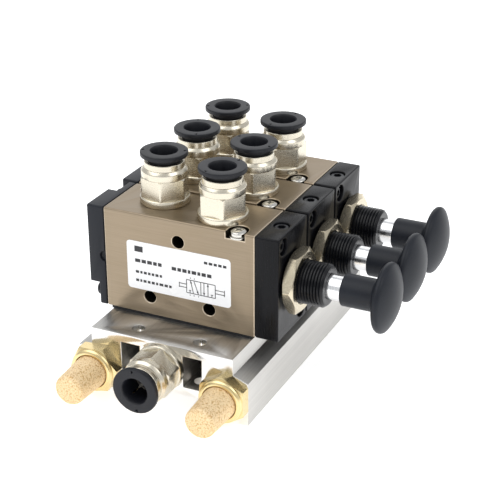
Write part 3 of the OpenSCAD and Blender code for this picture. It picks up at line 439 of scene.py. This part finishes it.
def prism(name, sides, across, low, high, turn=0, corner=0.0):
    """An upright prism by its width across flats, with its upright edges rounded, in mm and degrees."""
    bpy.ops.object.select_all(action="DESELECT")
    bpy.ops.mesh.primitive_cylinder_add(vertices=sides, radius=across / 2 / math.cos(math.pi / sides) * MM,
                                        depth=(high - low) * MM, location=(0, 0, (low + high) / 2 * MM),
                                        rotation=(0, 0, math.radians(turn)))
    piece = bpy.context.object
    piece.name = name
    bpy.ops.object.transform_apply(location=True, rotation=True, scale=True)
    if corner:
        choose(piece, "EDGE", lambda edge: abs(edge.verts[0].co.z - edge.verts[1].co.z) > NEAR)
        bpy.ops.mesh.bevel(offset=corner * MM, segments=3)
        leave_edit()
    return piece


def combine(piece, tool, operation):
    """Adds the tool's shape to the piece, cuts it away, or keeps what both share."""
    work_on(piece)
    modifier = piece.modifiers.new("combine", "BOOLEAN")
    modifier.object = tool
    modifier.operation = operation
    modifier.solver = "EXACT"
    bpy.ops.object.modifier_apply(modifier=modifier.name)
    bpy.data.objects.remove(tool)


def keep_place(piece):
    """Stores each point's place on the piece itself, which a finish follows on every copy."""
    places = piece.data.attributes.new("own_place", "FLOAT_VECTOR", "POINT")
    places.data.foreach_set("vector", [part for vert in piece.data.vertices for part in vert.co])


def parts_of(node):
    """The lowest and highest corner of each separate solid in a CAD node."""
    choose(cad_copy("part", node), "FACE", lambda face: True)
    bpy.ops.mesh.separate(type="LOOSE")
    leave_edit()
    boxes = []
    for piece in list(bpy.context.selected_objects):
        corners = [Vector(corner) for corner in piece.bound_box]
        boxes.append((corners[0], corners[6]))
        bpy.data.objects.remove(piece)
    return boxes


def spread(pattern, name, places):
    """One piece that holds a copy of the pattern at each place."""
    copies = [moved_copy(pattern, name, place) for place in places]
    bpy.data.objects.remove(pattern)
    work_on(copies[0])
    for copy in copies:
        copy.select_set(True)
    bpy.ops.object.join()
    return copies[0]


HEAD_D, HEAD_H, SHANK_D, KEY = 4.6, 2.4, 2.5, 2.0
TO_BACK = Matrix.Rotation(-math.pi / 2, 4, "Y")
TO_FRONT = Matrix.Rotation(math.pi / 2, 4, "Y")


def socket_screw(name, whole_l):
    """A socket screw along Z with its head's underside at zero."""
    shank_l = whole_l - HEAD_H
    piece = turned(name, [
        (0, -shank_l), (SHANK_D / 2, -shank_l, 0.3), (SHANK_D / 2, 0), (HEAD_D / 2, 0, 0.15),
        (HEAD_D / 2, HEAD_H * 0.8, 0.3), (HEAD_D / 2 - 0.5, HEAD_H, 0.2), (0, HEAD_H)
    ], 48)
    combine(piece, prism("key", 6, KEY, HEAD_H * 0.4, HEAD_H + 1), "DIFFERENCE")
    return piece


for end, node, turn in (("rear", "rear_cap_screws", TO_BACK), ("front", "front_cover_screws", TO_FRONT)):
    boxes = parts_of(node)
    places = []
    for low, high in boxes:
        seat = (low + high) / 2
        seat.x = low.x + HEAD_H * MM if end == "rear" else high.x - HEAD_H * MM
        places.append(Matrix.Translation(seat) @ turn)
    whole_l = (boxes[0][1].x - boxes[0][0].x) / MM
    screws = spread(socket_screw("cap_screw", whole_l), f"{end}_screws", places)
    give(screws, black_steel)
    fasten(screws, "root", "screw_black", node)


# ---------------------------------------------------------------- Spools and what works them
# Inside each body a turned aluminium spool slides on four rubber rings, stopped behind by a
# urethane bumper. A sprung steel ball drops on the rod's waist and holds either position.

turned_aluminium = surface("turned_aluminium", ("#B4B4B5", "#D6D6D6"), (0.25, 0.36), (0.3, 40, 40), 0.003, 1)
urethane = surface("cast_urethane", ("#17181A", "#242528"), (0.5, 0.62), (0.8, 0.8, 0.8), 0.004)
spring_steel = surface("hard_drawn_steel", ("#8C8D90", "#B5B6B8"), (0.22, 0.32), (0.2, 0.2, 0.2), 0.002, 1)

finish_nodes(turned_aluminium, *[f"spool_{i}" for i in (1, 2, 3)])
finish_nodes(rubber, "rod_seals", "tube_seals", *[f"spool_seals_{i}" for i in (1, 2, 3)])
finish_nodes(urethane, "spool_bumpers")
finish_nodes(spring_steel, "detent_springs", "detent_balls")


# ---------------------------------------------------------------- Front covers
# Blocks milled from aluminium and anodised black, with a satin gloss that shows the nut in
# front of them. They hold the collar, the two deep-set screws and the detent's set screw.

black_anodised = surface("black_anodised_aluminium", ("#08080B", "#111216"), (0.24, 0.36), (0.3, 0.3, 6),
                         0.003, shine=0.16)

cover = cad_copy("front_cover_block_1", "front_cover_1")
give(cover, black_anodised)
break_edges(cover, on_skin(*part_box("front_cover_1")), 0.3)
for i in (1, 2, 3):
    piece = cover if i == 1 else moved_copy(cover, f"front_cover_block_{i}", from_first("front_cover", i))
    fasten(piece, "root", "black_cap", f"front_cover_{i}")

# Set screws with a chamfered end and a hexagon socket
boxes = parts_of("detent_set_screws")
screw_l = (boxes[0][1].z - boxes[0][0].z) / MM
set_screw = turned("set_screw", [
    (0, 0), (2.0, 0), (2.5, 0.5), (2.5, screw_l - 0.4), (2.1, screw_l), (0, screw_l)
], 48)
combine(set_screw, prism("key", 6, 2.5, screw_l - 2, screw_l + 1), "DIFFERENCE")
set_screws = spread(set_screw, "set_screws", [
    Matrix.Translation(((low.x + high.x) / 2, (low.y + high.y) / 2, low.z)) for low, high in boxes
])
give(set_screws, black_steel)
fasten(set_screws, "root", "screw_black", "detent_set_screws")


# ---------------------------------------------------------------- Threaded collars
# Black-anodised aluminium bushes, turned and single-point threaded M14 x 1, that guide the
# rod and take the panel nut. The thread is a true helix that runs out at the chamfered end.

collar_black = surface("black_anodised_bush", ("#08090C", "#111318"), (0.22, 0.32), (0.2, 1, 0.2), 0.001, 0,
                       "lathe", 0.3)

COLLAR_R, THREAD_PITCH, THREAD_DEPTH, ROD_GAP_R = 7, 1, 0.55, 4.05
collar_low, collar_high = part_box("threaded_collar_1")
cover_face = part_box("front_cover_1")[1].x
inner_l = (cover_face - collar_low.x) / MM
reach = (collar_high.x - cover_face) / MM
THREAD_END = reach - 0.35


def screw_thread(name, outer_r, depth, pitch, low, high):
    """A solid screw thread about Z between two heights, with sharp crests for a blank to trim."""
    bpy.ops.object.select_all(action="DESELECT")
    bpy.ops.mesh.primitive_circle_add(vertices=4, radius=MM)
    piece = bpy.context.object
    piece.name = name
    root = outer_r - depth
    profile = [(root, 0), (root, 0.2 * pitch), (outer_r + 0.15, 0.6 * pitch), (root, pitch)]
    for vert, (radius, height) in zip(piece.data.vertices, profile):
        vert.co = Vector((radius, 0, height + low - 2 * pitch)) * MM
    choose(piece, "EDGE", lambda edge: {edge.verts[0].index, edge.verts[1].index} == {0, 3})
    bpy.ops.mesh.delete(type="EDGE_FACE")
    leave_edit()
    helix = piece.modifiers.new("helix", "SCREW")
    helix.screw_offset = pitch * MM
    helix.iterations = math.ceil((high - low) / pitch) + 4
    helix.steps = helix.render_steps = 64
    bpy.ops.object.modifier_apply(modifier=helix.name)
    choose(piece, "FACE", lambda face: True)
    bpy.ops.mesh.remove_doubles(threshold=0.001 * MM)
    for height, inner, outer in ((low, True, False), (high, False, True)):
        bpy.ops.mesh.select_all(action="SELECT")
        bpy.ops.mesh.bisect(plane_co=(0, 0, height * MM), plane_no=(0, 0, 1), use_fill=True,
                            clear_inner=inner, clear_outer=outer)
    bpy.ops.mesh.select_all(action="SELECT")
    bpy.ops.mesh.normals_make_consistent(inside=False)
    leave_edit()
    return piece


threads = screw_thread("thread", COLLAR_R, THREAD_DEPTH, THREAD_PITCH, -1, THREAD_END)
combine(threads, prism("plain", 64, 2 * COLLAR_R + 2, -inner_l - 1, -0.5), "UNION")
combine(threads, prism("plain", 64, 2 * COLLAR_R + 2, THREAD_END - 0.2, reach + 1), "UNION")
SEAL_MIDDLE, SEAL_HALF, SEAL_R = reach - 4, 1, 5.55
collar = turned("collar", [
    (ROD_GAP_R, -inner_l, 0.15), (COLLAR_R, -inner_l, 0.4), (COLLAR_R, reach - 0.9, 0.1),
    (COLLAR_R - 0.9, reach, 0.15), (ROD_GAP_R, reach, 0.3),
    (ROD_GAP_R, SEAL_MIDDLE + SEAL_HALF), (SEAL_R, SEAL_MIDDLE + SEAL_HALF),
    (SEAL_R, SEAL_MIDDLE - SEAL_HALF), (ROD_GAP_R, SEAL_MIDDLE - SEAL_HALF)
], 96)
combine(collar, threads, "INTERSECT")
ball_hole = prism("ball_hole", 32, 3.1, 0, COLLAR_R + 1)
ball_hole.data.transform(Matrix.Translation((0, 0, -3.85 * MM)) @ TO_BACK)
combine(collar, ball_hole, "DIFFERENCE")
keep_place(collar)


def on_spool_axis(node, x):
    """Lays a piece that stands on zero along the axis of a node that runs in X, from x on."""
    low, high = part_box(node)
    middle = (low + high) / 2
    return Matrix.Translation((x, middle.y, middle.z)) @ TO_FRONT


for i in (1, 2, 3):
    piece = moved_copy(collar, f"collar_bush_{i}", on_spool_axis(f"threaded_collar_{i}", cover_face))
    give(piece, collar_black)
    fasten(piece, "root", "black_collar", f"threaded_collar_{i}")
bpy.data.objects.remove(collar)


# ---------------------------------------------------------------- Lock nuts
# Thin hexagon nuts, 19 mm across the flats, turned from brass bar and nickel plated. Both
# faces are chamfered on the lathe, which cuts the arcs where the flats meet them.

nickel = surface("nickel_plate", ("#C8BCA2", "#D9CFB8"), (0.23, 0.28), (0.25, 1, 0.25), 0.0003, 1, "lathe")


def turned_hexagon(name, across, low, high, low_cut, high_cut, turn=0):
    """A hexagon with rounded corners whose two ends are turned to a chamfer, in mm."""
    slope = 0.6
    corner_r = across / math.sqrt(3)
    blank = turned("blank", [
        (0, low), (corner_r - low_cut, low), (corner_r, low + low_cut * slope),
        (corner_r, high - high_cut * slope), (corner_r - high_cut, high), (0, high)
    ], 96)
    piece = prism(name, 6, across, low - 0.5, high + 0.5, turn, corner=0.25)
    combine(piece, blank, "INTERSECT")
    return piece


NUT_AF, NUT_BORE_R = 19, 7.06
nut_low, nut_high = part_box("lock_nut_1")
nut_t = (nut_high.x - nut_low.x) / MM
nut = turned_hexagon("nut", NUT_AF, 0, nut_t, 1.6, 1.6)
countersunk_bore = turned("bore", [
    (0, -1), (NUT_BORE_R + 1.4, -1), (NUT_BORE_R, 0.4), (NUT_BORE_R, nut_t - 0.4),
    (NUT_BORE_R + 1.4, nut_t + 1), (0, nut_t + 1)
], 64)
combine(nut, countersunk_bore, "DIFFERENCE")
keep_place(nut)
for i in (1, 2, 3):
    piece = moved_copy(nut, f"panel_nut_{i}", on_spool_axis(f"lock_nut_{i}", nut_low.x))
    give(piece, nickel)
    fasten(piece, "root", "nut_nickel", f"lock_nut_{i}")
bpy.data.objects.remove(nut)


# ---------------------------------------------------------------- Pull rods
# Rods of drawn aluminium, turned bright, with a fine feed mark round them. The waist
# under the ball is inside the cover, and the end is glued into the knob.

bright_rod = surface("bright_drawn_aluminium", ("#E6E6E7", "#FAFAFA"), (0.14, 0.26), (0.35, 30, 30), 0.004, 1)
finish_nodes(bright_rod, "pull_rod_1", "pull_rod_2", "pull_rod_3")


# ---------------------------------------------------------------- Pull knobs
# Mushroom knobs moulded in black acetal, with a soft matt skin. The back flares out of
# the neck, the rim is full and round, and the face is a shallow dome that meets it smoothly.

acetal = surface("moulded_black_acetal", ("#13161C", "#1C2029"), (0.4, 0.5), (0.3, 0.3, 0.3), 0.004, 0,
                 "own", 0.28)

NECK_R, NECK_L, KNOB_R, RIM_R, BACK_T = 5.2, 11.1, 11.2, 1.4, 2.6
SOCKET_R, SOCKET_L = 4.05, 7.2
knob_low, knob_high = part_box("pull_knob_1")
knob_l = (knob_high.x - knob_low.x) / MM
rim_r, rim_z = KNOB_R - RIM_R, NECK_L + BACK_T
# The dome is the sphere that touches the rim's circle from outside and ends at the knob's tip.
dome_z = ((knob_l - RIM_R) ** 2 - rim_r ** 2 - rim_z ** 2) / (2 * (knob_l - RIM_R - rim_z))
dome_r = knob_l - dome_z
touch = math.atan2(rim_z - dome_z, rim_r)
DOME_STEPS, RIM_STEPS = 14, 9
rim = [(rim_r + RIM_R * math.cos(a), rim_z + RIM_R * math.sin(a))
       for a in (-math.pi / 2 + k / RIM_STEPS * (touch + math.pi / 2) for k in range(RIM_STEPS + 1))]
dome = [(dome_r * math.cos(a), dome_z + dome_r * math.sin(a))
        for a in (touch + k / DOME_STEPS * (math.pi / 2 - touch) for k in range(1, DOME_STEPS))]
knob = turned("knob", [
    (SOCKET_R, 0, 0.2), (NECK_R, 0, 0.5), (NECK_R, NECK_L - 0.3, 1.4), *rim, *dome,
    (0, knob_l), (0, SOCKET_L), (SOCKET_R, SOCKET_L)
], 96)
keep_place(knob)
for i in (1, 2, 3):
    piece = moved_copy(knob, f"mushroom_knob_{i}", on_spool_axis(f"pull_knob_{i}", knob_low.x))
    give(piece, acetal)
    fasten(piece, f"pull_{i}", "knob_plastic", f"pull_knob_{i}")
bpy.data.objects.remove(knob)


# ---------------------------------------------------------------- Valve screws
# M3 pan-head screws of zinc-plated steel with a cross recess, each over a split spring
# washer, two to a valve. The recess is punched, so its walls lean in to the middle.

bright_zinc = surface("bright_zinc_plate", ("#BEBCB6", "#DEDBD4"), (0.18, 0.28), (0.4, 0.4, 0.4), 0.003, 1)

PAN_D, PAN_H, SCREW_D, RECESS_W, RECESS_DEEP = 5.2, 1.8, 3, 0.75, 1.3
WASHER_D, WASHER_T, WASHER_GAP = 6, 0.6, 0.5
boxes = parts_of("valve_screws")
seats = [Vector(((low.x + high.x) / 2, (low.y + high.y) / 2, high.z - PAN_H * MM)) for low, high in boxes]
screw_l = (boxes[0][1].z - boxes[0][0].z) / MM - PAN_H
pan_screw = turned("pan_screw", [
    (0, -screw_l), (SCREW_D / 2, -screw_l, 0.4), (SCREW_D / 2, 0), (PAN_D / 2, 0, 0.2),
    (PAN_D / 2, PAN_H * 0.7, 0.6), (PAN_D * 0.28, PAN_H, 1.5), (0, PAN_H)
], 48)
for turn in (45, 135):
    blade = prism("blade", 4, RECESS_W, PAN_H - RECESS_DEEP, PAN_H + 1)
    choose(blade, "VERT", lambda vert: vert.co.z > PAN_H * MM)
    bpy.ops.transform.resize(value=(2.2, 1.3, 1), center_override=(0, 0, 0))
    bpy.ops.mesh.select_all(action="SELECT")
    bpy.ops.transform.resize(value=(1.9, 1, 1), center_override=(0, 0, 0))
    leave_edit()
    blade.data.transform(Matrix.Rotation(math.radians(turn), 4, "Z"))
    combine(pan_screw, blade, "DIFFERENCE")
washer = turned("washer", [
    (SCREW_D / 2 + 0.06, 0, 0.1), (WASHER_D / 2, 0, 0.1), (WASHER_D / 2, WASHER_T, 0.1),
    (SCREW_D / 2 + 0.06, WASHER_T, 0.1)
], 48)
slit = prism("slit", 4, WASHER_GAP, -1, WASHER_T + 1)
slit.data.transform(Matrix.Translation((2.3 * MM, 0, 0)) @ Matrix.Diagonal((4, 1, 1, 1)))
combine(washer, slit, "DIFFERENCE")
screws = spread(pan_screw, "pan_head_screws", [
    Matrix.Translation(seat) @ Matrix.Rotation(0.4 + 1.1 * k, 4, "Z") for k, seat in enumerate(seats)
])
spring_washers = spread(washer, "spring_washers", [
    Matrix.Translation(seat - Vector((0, 0, WASHER_T * MM))) @ Matrix.Rotation(2.0 + 0.9 * k, 4, "Z")
    for k, seat in enumerate(seats)
])
for piece in (screws, spring_washers):
    give(piece, bright_zinc)
    fasten(piece, "root", "screw_bright", "valve_screws")


# ---------------------------------------------------------------- Push-in fittings
# Straight fittings for 8 mm tube, turned from brass hexagon bar and nickel plated: a seat
# flange, the hexagon with its lathe-cut chamfers, a round shoulder and a bright neck.

fitting_nickel = surface("nickel_plated_brass", ("#D2CAB8", "#DED7C6"), (0.24, 0.29), (0.3, 1, 0.3),
                         0.0003, 1, "lathe")

FITTINGS = ["1a", "1b", "2a", "2b", "3a", "3b", "supply"]
TURNS = dict(zip(FITTINGS, (17, 26, 31, 22, 31, 2, 48)))
THREAD_L, SHANK_R, SEAT_R, SEAT_T = 8, 6.52, 8.1, 2.4
HEX_AF, HEX_TOP, SHOULDER_R, SHOULDER_TOP, NECK_OUT_R, NECK_TOP = 14, 8.8, 7.5, 12, 6.5, 14
FLOW_R, TUBE_R, TUBE_STOP, SEAL_LOW, SEAL_ROOM_R, SEAL_TOP, MOUTH_R = 3, 4.05, -2, 5, 5.9, 7.45, 5.2

fitting = turned("fitting", [
    (FLOW_R, -THREAD_L, 0.3), (SHANK_R, -THREAD_L, 0.6), (SHANK_R, 0), (SEAT_R, 0, 0.2),
    (SEAT_R, SEAT_T - 0.1, 0.55), (HEX_AF / 2 - 0.2, SEAT_T), (HEX_AF / 2 - 0.2, HEX_TOP),
    (SHOULDER_R, HEX_TOP, 0.3), (SHOULDER_R, SHOULDER_TOP - 1.0, 0.7),
    (SHOULDER_R - 0.75, SHOULDER_TOP, 0.25), (NECK_OUT_R, SHOULDER_TOP, 0.1),
    (NECK_OUT_R, NECK_TOP, 0.3), (MOUTH_R, NECK_TOP, 0.2), (MOUTH_R, SEAL_TOP), (SEAL_ROOM_R, SEAL_TOP),
    (SEAL_ROOM_R, SEAL_LOW), (TUBE_R, SEAL_LOW), (TUBE_R, TUBE_STOP), (FLOW_R, TUBE_STOP, 0.3)
], 96)
hexagon = turned_hexagon("hexagon", HEX_AF, SEAT_T - 0.3, HEX_TOP + 0.3, 0.5, 0.9)
combine(hexagon, prism("core", 64, HEX_AF - 1, 0, 12), "DIFFERENCE")
combine(fitting, hexagon, "UNION")
keep_place(fitting)

port_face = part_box("fitting_supply")[1].y - THREAD_L * MM


def at_fitting(key, turn=0.0):
    """Where a piece that stands on a fitting's seat goes, and which way it points."""
    low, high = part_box(f"fitting_{key}")
    middle = (low + high) / 2
    spin = Matrix.Rotation(math.radians(turn), 4, "Z")
    if key == "supply":
        lie = Matrix.Rotation(math.pi / 2, 4, "X")
        return Matrix.Translation((middle.x, port_face, middle.z)) @ lie @ spin
    return Matrix.Translation((middle.x, middle.y, body_high.z)) @ spin


for key in FITTINGS:
    piece = moved_copy(fitting, f"push_in_fitting_{key}", at_fitting(key, TURNS[key]))
    give(piece, fitting_nickel)
    fasten(piece, "root", "fitting_nickel", f"fitting_{key}")
bpy.data.objects.remove(fitting)


# ---------------------------------------------------------------- Release rings
# Collet rings moulded in blue-black acetal: a slotted sleeve that runs down beside the
# tube and a dished rim to press on, with two small arrows cut in its edge.

ring_acetal = surface("moulded_blue_black_acetal", ("#101116", "#1A1C23"), (0.4, 0.5), (0.25, 0.25, 0.25),
                      0.006, 0, "own", 0.35)

RING_LOW, RING_TOP, RING_LOW_R, RING_R = 15.1, 17.2, 6.2, 7.7
RING_MOUTH_R, SLEEVE_IN_R, SLEEVE_OUT_R, SLEEVE_LOW = 4.55, 4.15, 5.15, 8.75
ring = turned("ring", [
    (SLEEVE_IN_R, SLEEVE_LOW, 0.15), (SLEEVE_OUT_R, SLEEVE_LOW, 0.3), (SLEEVE_OUT_R, RING_LOW),
    (RING_LOW_R, RING_LOW, 0.2), (RING_R, RING_LOW + 0.7, 0.2), (RING_R, RING_TOP, 0.35),
    (RING_MOUTH_R, RING_TOP, 0.2), (SLEEVE_IN_R, RING_TOP - 0.7)
], 96)
for turn in (0, 180):
    arrow = prism("arrow", 3, 0.7, RING_TOP - 0.4, RING_TOP + 1)
    arrow.data.transform(Matrix.Rotation(math.radians(turn), 4, "Z") @ Matrix.Translation((-6.7 * MM, 0, 0)))
    combine(ring, arrow, "DIFFERENCE")
for turn in (45, 135):
    slot_cut = prism("slot_cut", 4, 0.8, SLEEVE_LOW - 1, RING_LOW - 1.6)
    slot_cut.data.transform(Matrix.Rotation(math.radians(turn), 4, "Z") @ Matrix.Diagonal((16, 1, 1, 1)))
    combine(ring, slot_cut, "DIFFERENCE")
keep_place(ring)
for key in FITTINGS:
    turn = 95 if key == "supply" else 20 + 47 * FITTINGS.index(key)
    piece = moved_copy(ring, f"collet_ring_{key}", at_fitting(key, turn))
    give(piece, ring_acetal)
    fasten(piece, f"ring_{key}", "ring_black", f"release_ring_{key}")
bpy.data.objects.remove(ring)


# ---------------------------------------------------------------- Grip rings
# Stainless washers, which on the real fitting have twelve teeth bent up to bite the tube; the CAD
# rings keep their plain shape and only take the steel finish, seen as a glint deep in each open mouth.

finish_nodes(spring_steel, "grip_rings")


# ---------------------------------------------------------------- Muffler bodies
# Turned from brass hexagon bar: a thread into the base, a short hexagon for the spanner and
# a round rim rolled over the element's foot. Bare brass, bright with a little handling.

brass = surface("bare_brass", ("#E0C78F", "#F2DFAC"), (0.24, 0.32), (0.3, 1, 0.3), 0.0003, 1, "lathe")

MUFFLER_AF, MUFFLER_HEX_L, MUFFLER_RIM, MUFFLER_BORE_R = 15, 3.9, 5.6, 4.52
ELEMENT_R, ELEMENT_TIP_R, ELEMENT_SEAT = 5.65, 5.1, 2.6
RIM_ROUND = 1.4
muffler = turned("muffler", [
    (MUFFLER_BORE_R, -THREAD_L, 0.2), (SHANK_R, -THREAD_L, 0.6), (SHANK_R, 0), (MUFFLER_AF / 2 - 0.4, 0),
    (MUFFLER_AF / 2 - 0.4, MUFFLER_HEX_L), (MUFFLER_AF / 2, MUFFLER_HEX_L),
    (MUFFLER_AF / 2, MUFFLER_RIM, RIM_ROUND),
    (ELEMENT_R + 0.3, MUFFLER_RIM, 0.1), (ELEMENT_R + 0.05, MUFFLER_RIM - 0.6),
    (ELEMENT_R + 0.05, MUFFLER_RIM - ELEMENT_SEAT), (MUFFLER_BORE_R, MUFFLER_RIM - ELEMENT_SEAT)
], 96)
hexagon = turned_hexagon("hexagon", MUFFLER_AF, 0, MUFFLER_HEX_L + 0.2, 0.2, 1.1)
combine(hexagon, prism("core", 64, MUFFLER_AF - 1.4, -1, 12), "DIFFERENCE")
combine(muffler, hexagon, "UNION")
keep_place(muffler)


def at_muffler(node, turn):
    """Where a piece that stands on the port face goes, for a muffler on either side."""
    low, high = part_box(node)
    middle = (low + high) / 2
    stand = Matrix.Rotation(math.pi / 2, 4, "X") @ Matrix.Rotation(math.radians(turn), 4, "Z")
    return Matrix.Translation((middle.x, port_face, middle.z)) @ stand


MUFFLER_TURNS = {"left": 35, "right": 0}
for side, turn in MUFFLER_TURNS.items():
    piece = moved_copy(muffler, f"muffler_hexagon_{side}", at_muffler(f"muffler_body_{side}", turn))
    give(piece, brass)
    fasten(piece, "root", "muffler_brass", f"muffler_body_{side}")
bpy.data.objects.remove(muffler)


# ---------------------------------------------------------------- Sintered elements
# Cups of bronze beads about half a millimetre across, poured in a mould and sintered until
# they neck together. The air leaves through the pores, and the skin is a matt warm gold.

BEAD = 0.48
sinter = surface("sintered_bronze", ("#F2D19B", "#FBE7C2"), (0.5, 0.62), (0.5, 0.5, 0.5), 0.01, 0.3, "own")
tree = sinter.node_tree
place = tree.nodes["Attribute"].outputs["Vector"]
# Between the beads the colour is painted darker: a painted shade in the pores.
cells = add_node(tree, "TexVoronoi", {"Vector": place, "Scale": 1 / (BEAD * MM)})
pore_shade_mask = add_node(tree, "MapRange", {"Value": cells.outputs["Distance"], "From Min": 0.45, "From Max": 0.85})
shade = add_node(tree, "Mix", {0: pore_shade_mask.outputs[0], 6: tree.nodes["tone"].outputs[2], 7: linear("#CDA56C")},
                 data_type="RGBA")
tree.links.new(shade.outputs[2], tree.nodes["Principled BSDF"].inputs["Base Color"])

element_l = (port_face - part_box("muffler_element_left")[0].y) / MM
FOOT = MUFFLER_RIM - ELEMENT_SEAT + 0.05
WALL = 1.6
element = turned("element", [
    (0, element_l), (ELEMENT_TIP_R, element_l, 1.2), (ELEMENT_R, MUFFLER_RIM), (ELEMENT_R, FOOT),
    (ELEMENT_R - WALL, FOOT), (ELEMENT_TIP_R - WALL, element_l - 1.5 * WALL), (0, element_l - 1.5 * WALL)
], 96)
work_on(element)
grid = element.modifiers.new("grid", "REMESH")
grid.mode = "VOXEL"
grid.voxel_size = 0.14 * MM
bpy.ops.object.modifier_apply(modifier=grid.name)
beads = bpy.data.textures.new("beads", "VORONOI")
beads.noise_scale = BEAD * MM
swell = element.modifiers.new("swell", "DISPLACE")
swell.texture = beads
swell.texture_coords = "LOCAL"
swell.mid_level = 0
swell.strength = -0.13 * MM
bpy.ops.object.modifier_apply(modifier=swell.name)
keep_place(element)
for side, turn in MUFFLER_TURNS.items():
    piece = moved_copy(element, f"sintered_cup_{side}", at_muffler(f"muffler_element_{side}", turn + 60))
    give(piece, sinter)
    work_on(piece)
    bpy.ops.object.shade_smooth()
    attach(piece, "root")
    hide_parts(f"muffler_element_{side}")
bpy.data.objects.remove(element)


# ---------------------------------------------------------------- Studio
# A white table that runs out of sight, a large soft light above and to the left, weaker ones
# at the right for the knobs and behind for the tops, and a pale surround for the metals.

bpy.ops.object.select_all(action="DESELECT")
bpy.ops.mesh.primitive_plane_add(size=8)
floor = bpy.context.object
floor.name = "table"
table_top = surface("lit_white_acrylic", ("#F2F2F2", "#FAFAFA"), (0.5, 0.6), (60, 60, 60), 0.001)
glow = table_top.node_tree.nodes["Principled BSDF"].inputs
glow["Emission Color"].default_value = linear("#FFFFFF")
glow["Emission Strength"].default_value = 0.6
give(floor, table_top)

AIM = Vector((-7.8, 11.3, 34.8)) * MM
AZIMUTH, ELEVATION, DISTANCE = math.radians(24.94), math.radians(25.5), 475.7 * MM


def direction(azimuth, elevation):
    """Unit vector from the aim towards a place; azimuth 0 is -Y, and 90 degrees is +X."""
    level = math.cos(elevation)
    return Vector((math.sin(azimuth) * level, -math.cos(azimuth) * level, math.sin(elevation)))


bpy.ops.object.camera_add(location=AIM + direction(AZIMUTH, ELEVATION) * DISTANCE)
camera = bpy.context.object
camera.rotation_euler = direction(AZIMUTH, ELEVATION).to_track_quat("Z", "Y").to_euler()
camera.data.lens = 102.1
camera.data.shift_x = -0.0147
camera.data.shift_y = 0.0035
bpy.context.scene.camera = camera

LIGHTS = [
    ("key", -50, 60, 1.0, 0.9, 4),
    ("fill", 80, 45, 0.9, 0.5, 1.5),
    ("back", 205, 28, 1.2, 0.9, 1.6),
]
for name, azimuth, elevation, distance, size, power in LIGHTS:
    away = direction(math.radians(azimuth), math.radians(elevation))
    bpy.ops.object.light_add(type="AREA", location=AIM + away * distance)
    light = bpy.context.object
    light.name = name
    light.rotation_euler = away.to_track_quat("Z", "Y").to_euler()
    light.data.size = size
    light.data.energy = power

world = bpy.data.worlds.new("pale_surround")
world.use_nodes = True
world.node_tree.nodes["Background"].inputs["Color"].default_value = linear("#F2F4F7")
world.node_tree.nodes["Background"].inputs["Strength"].default_value = 0.75
bpy.context.scene.world = world
bpy.context.scene.view_settings.view_transform = "Standard"
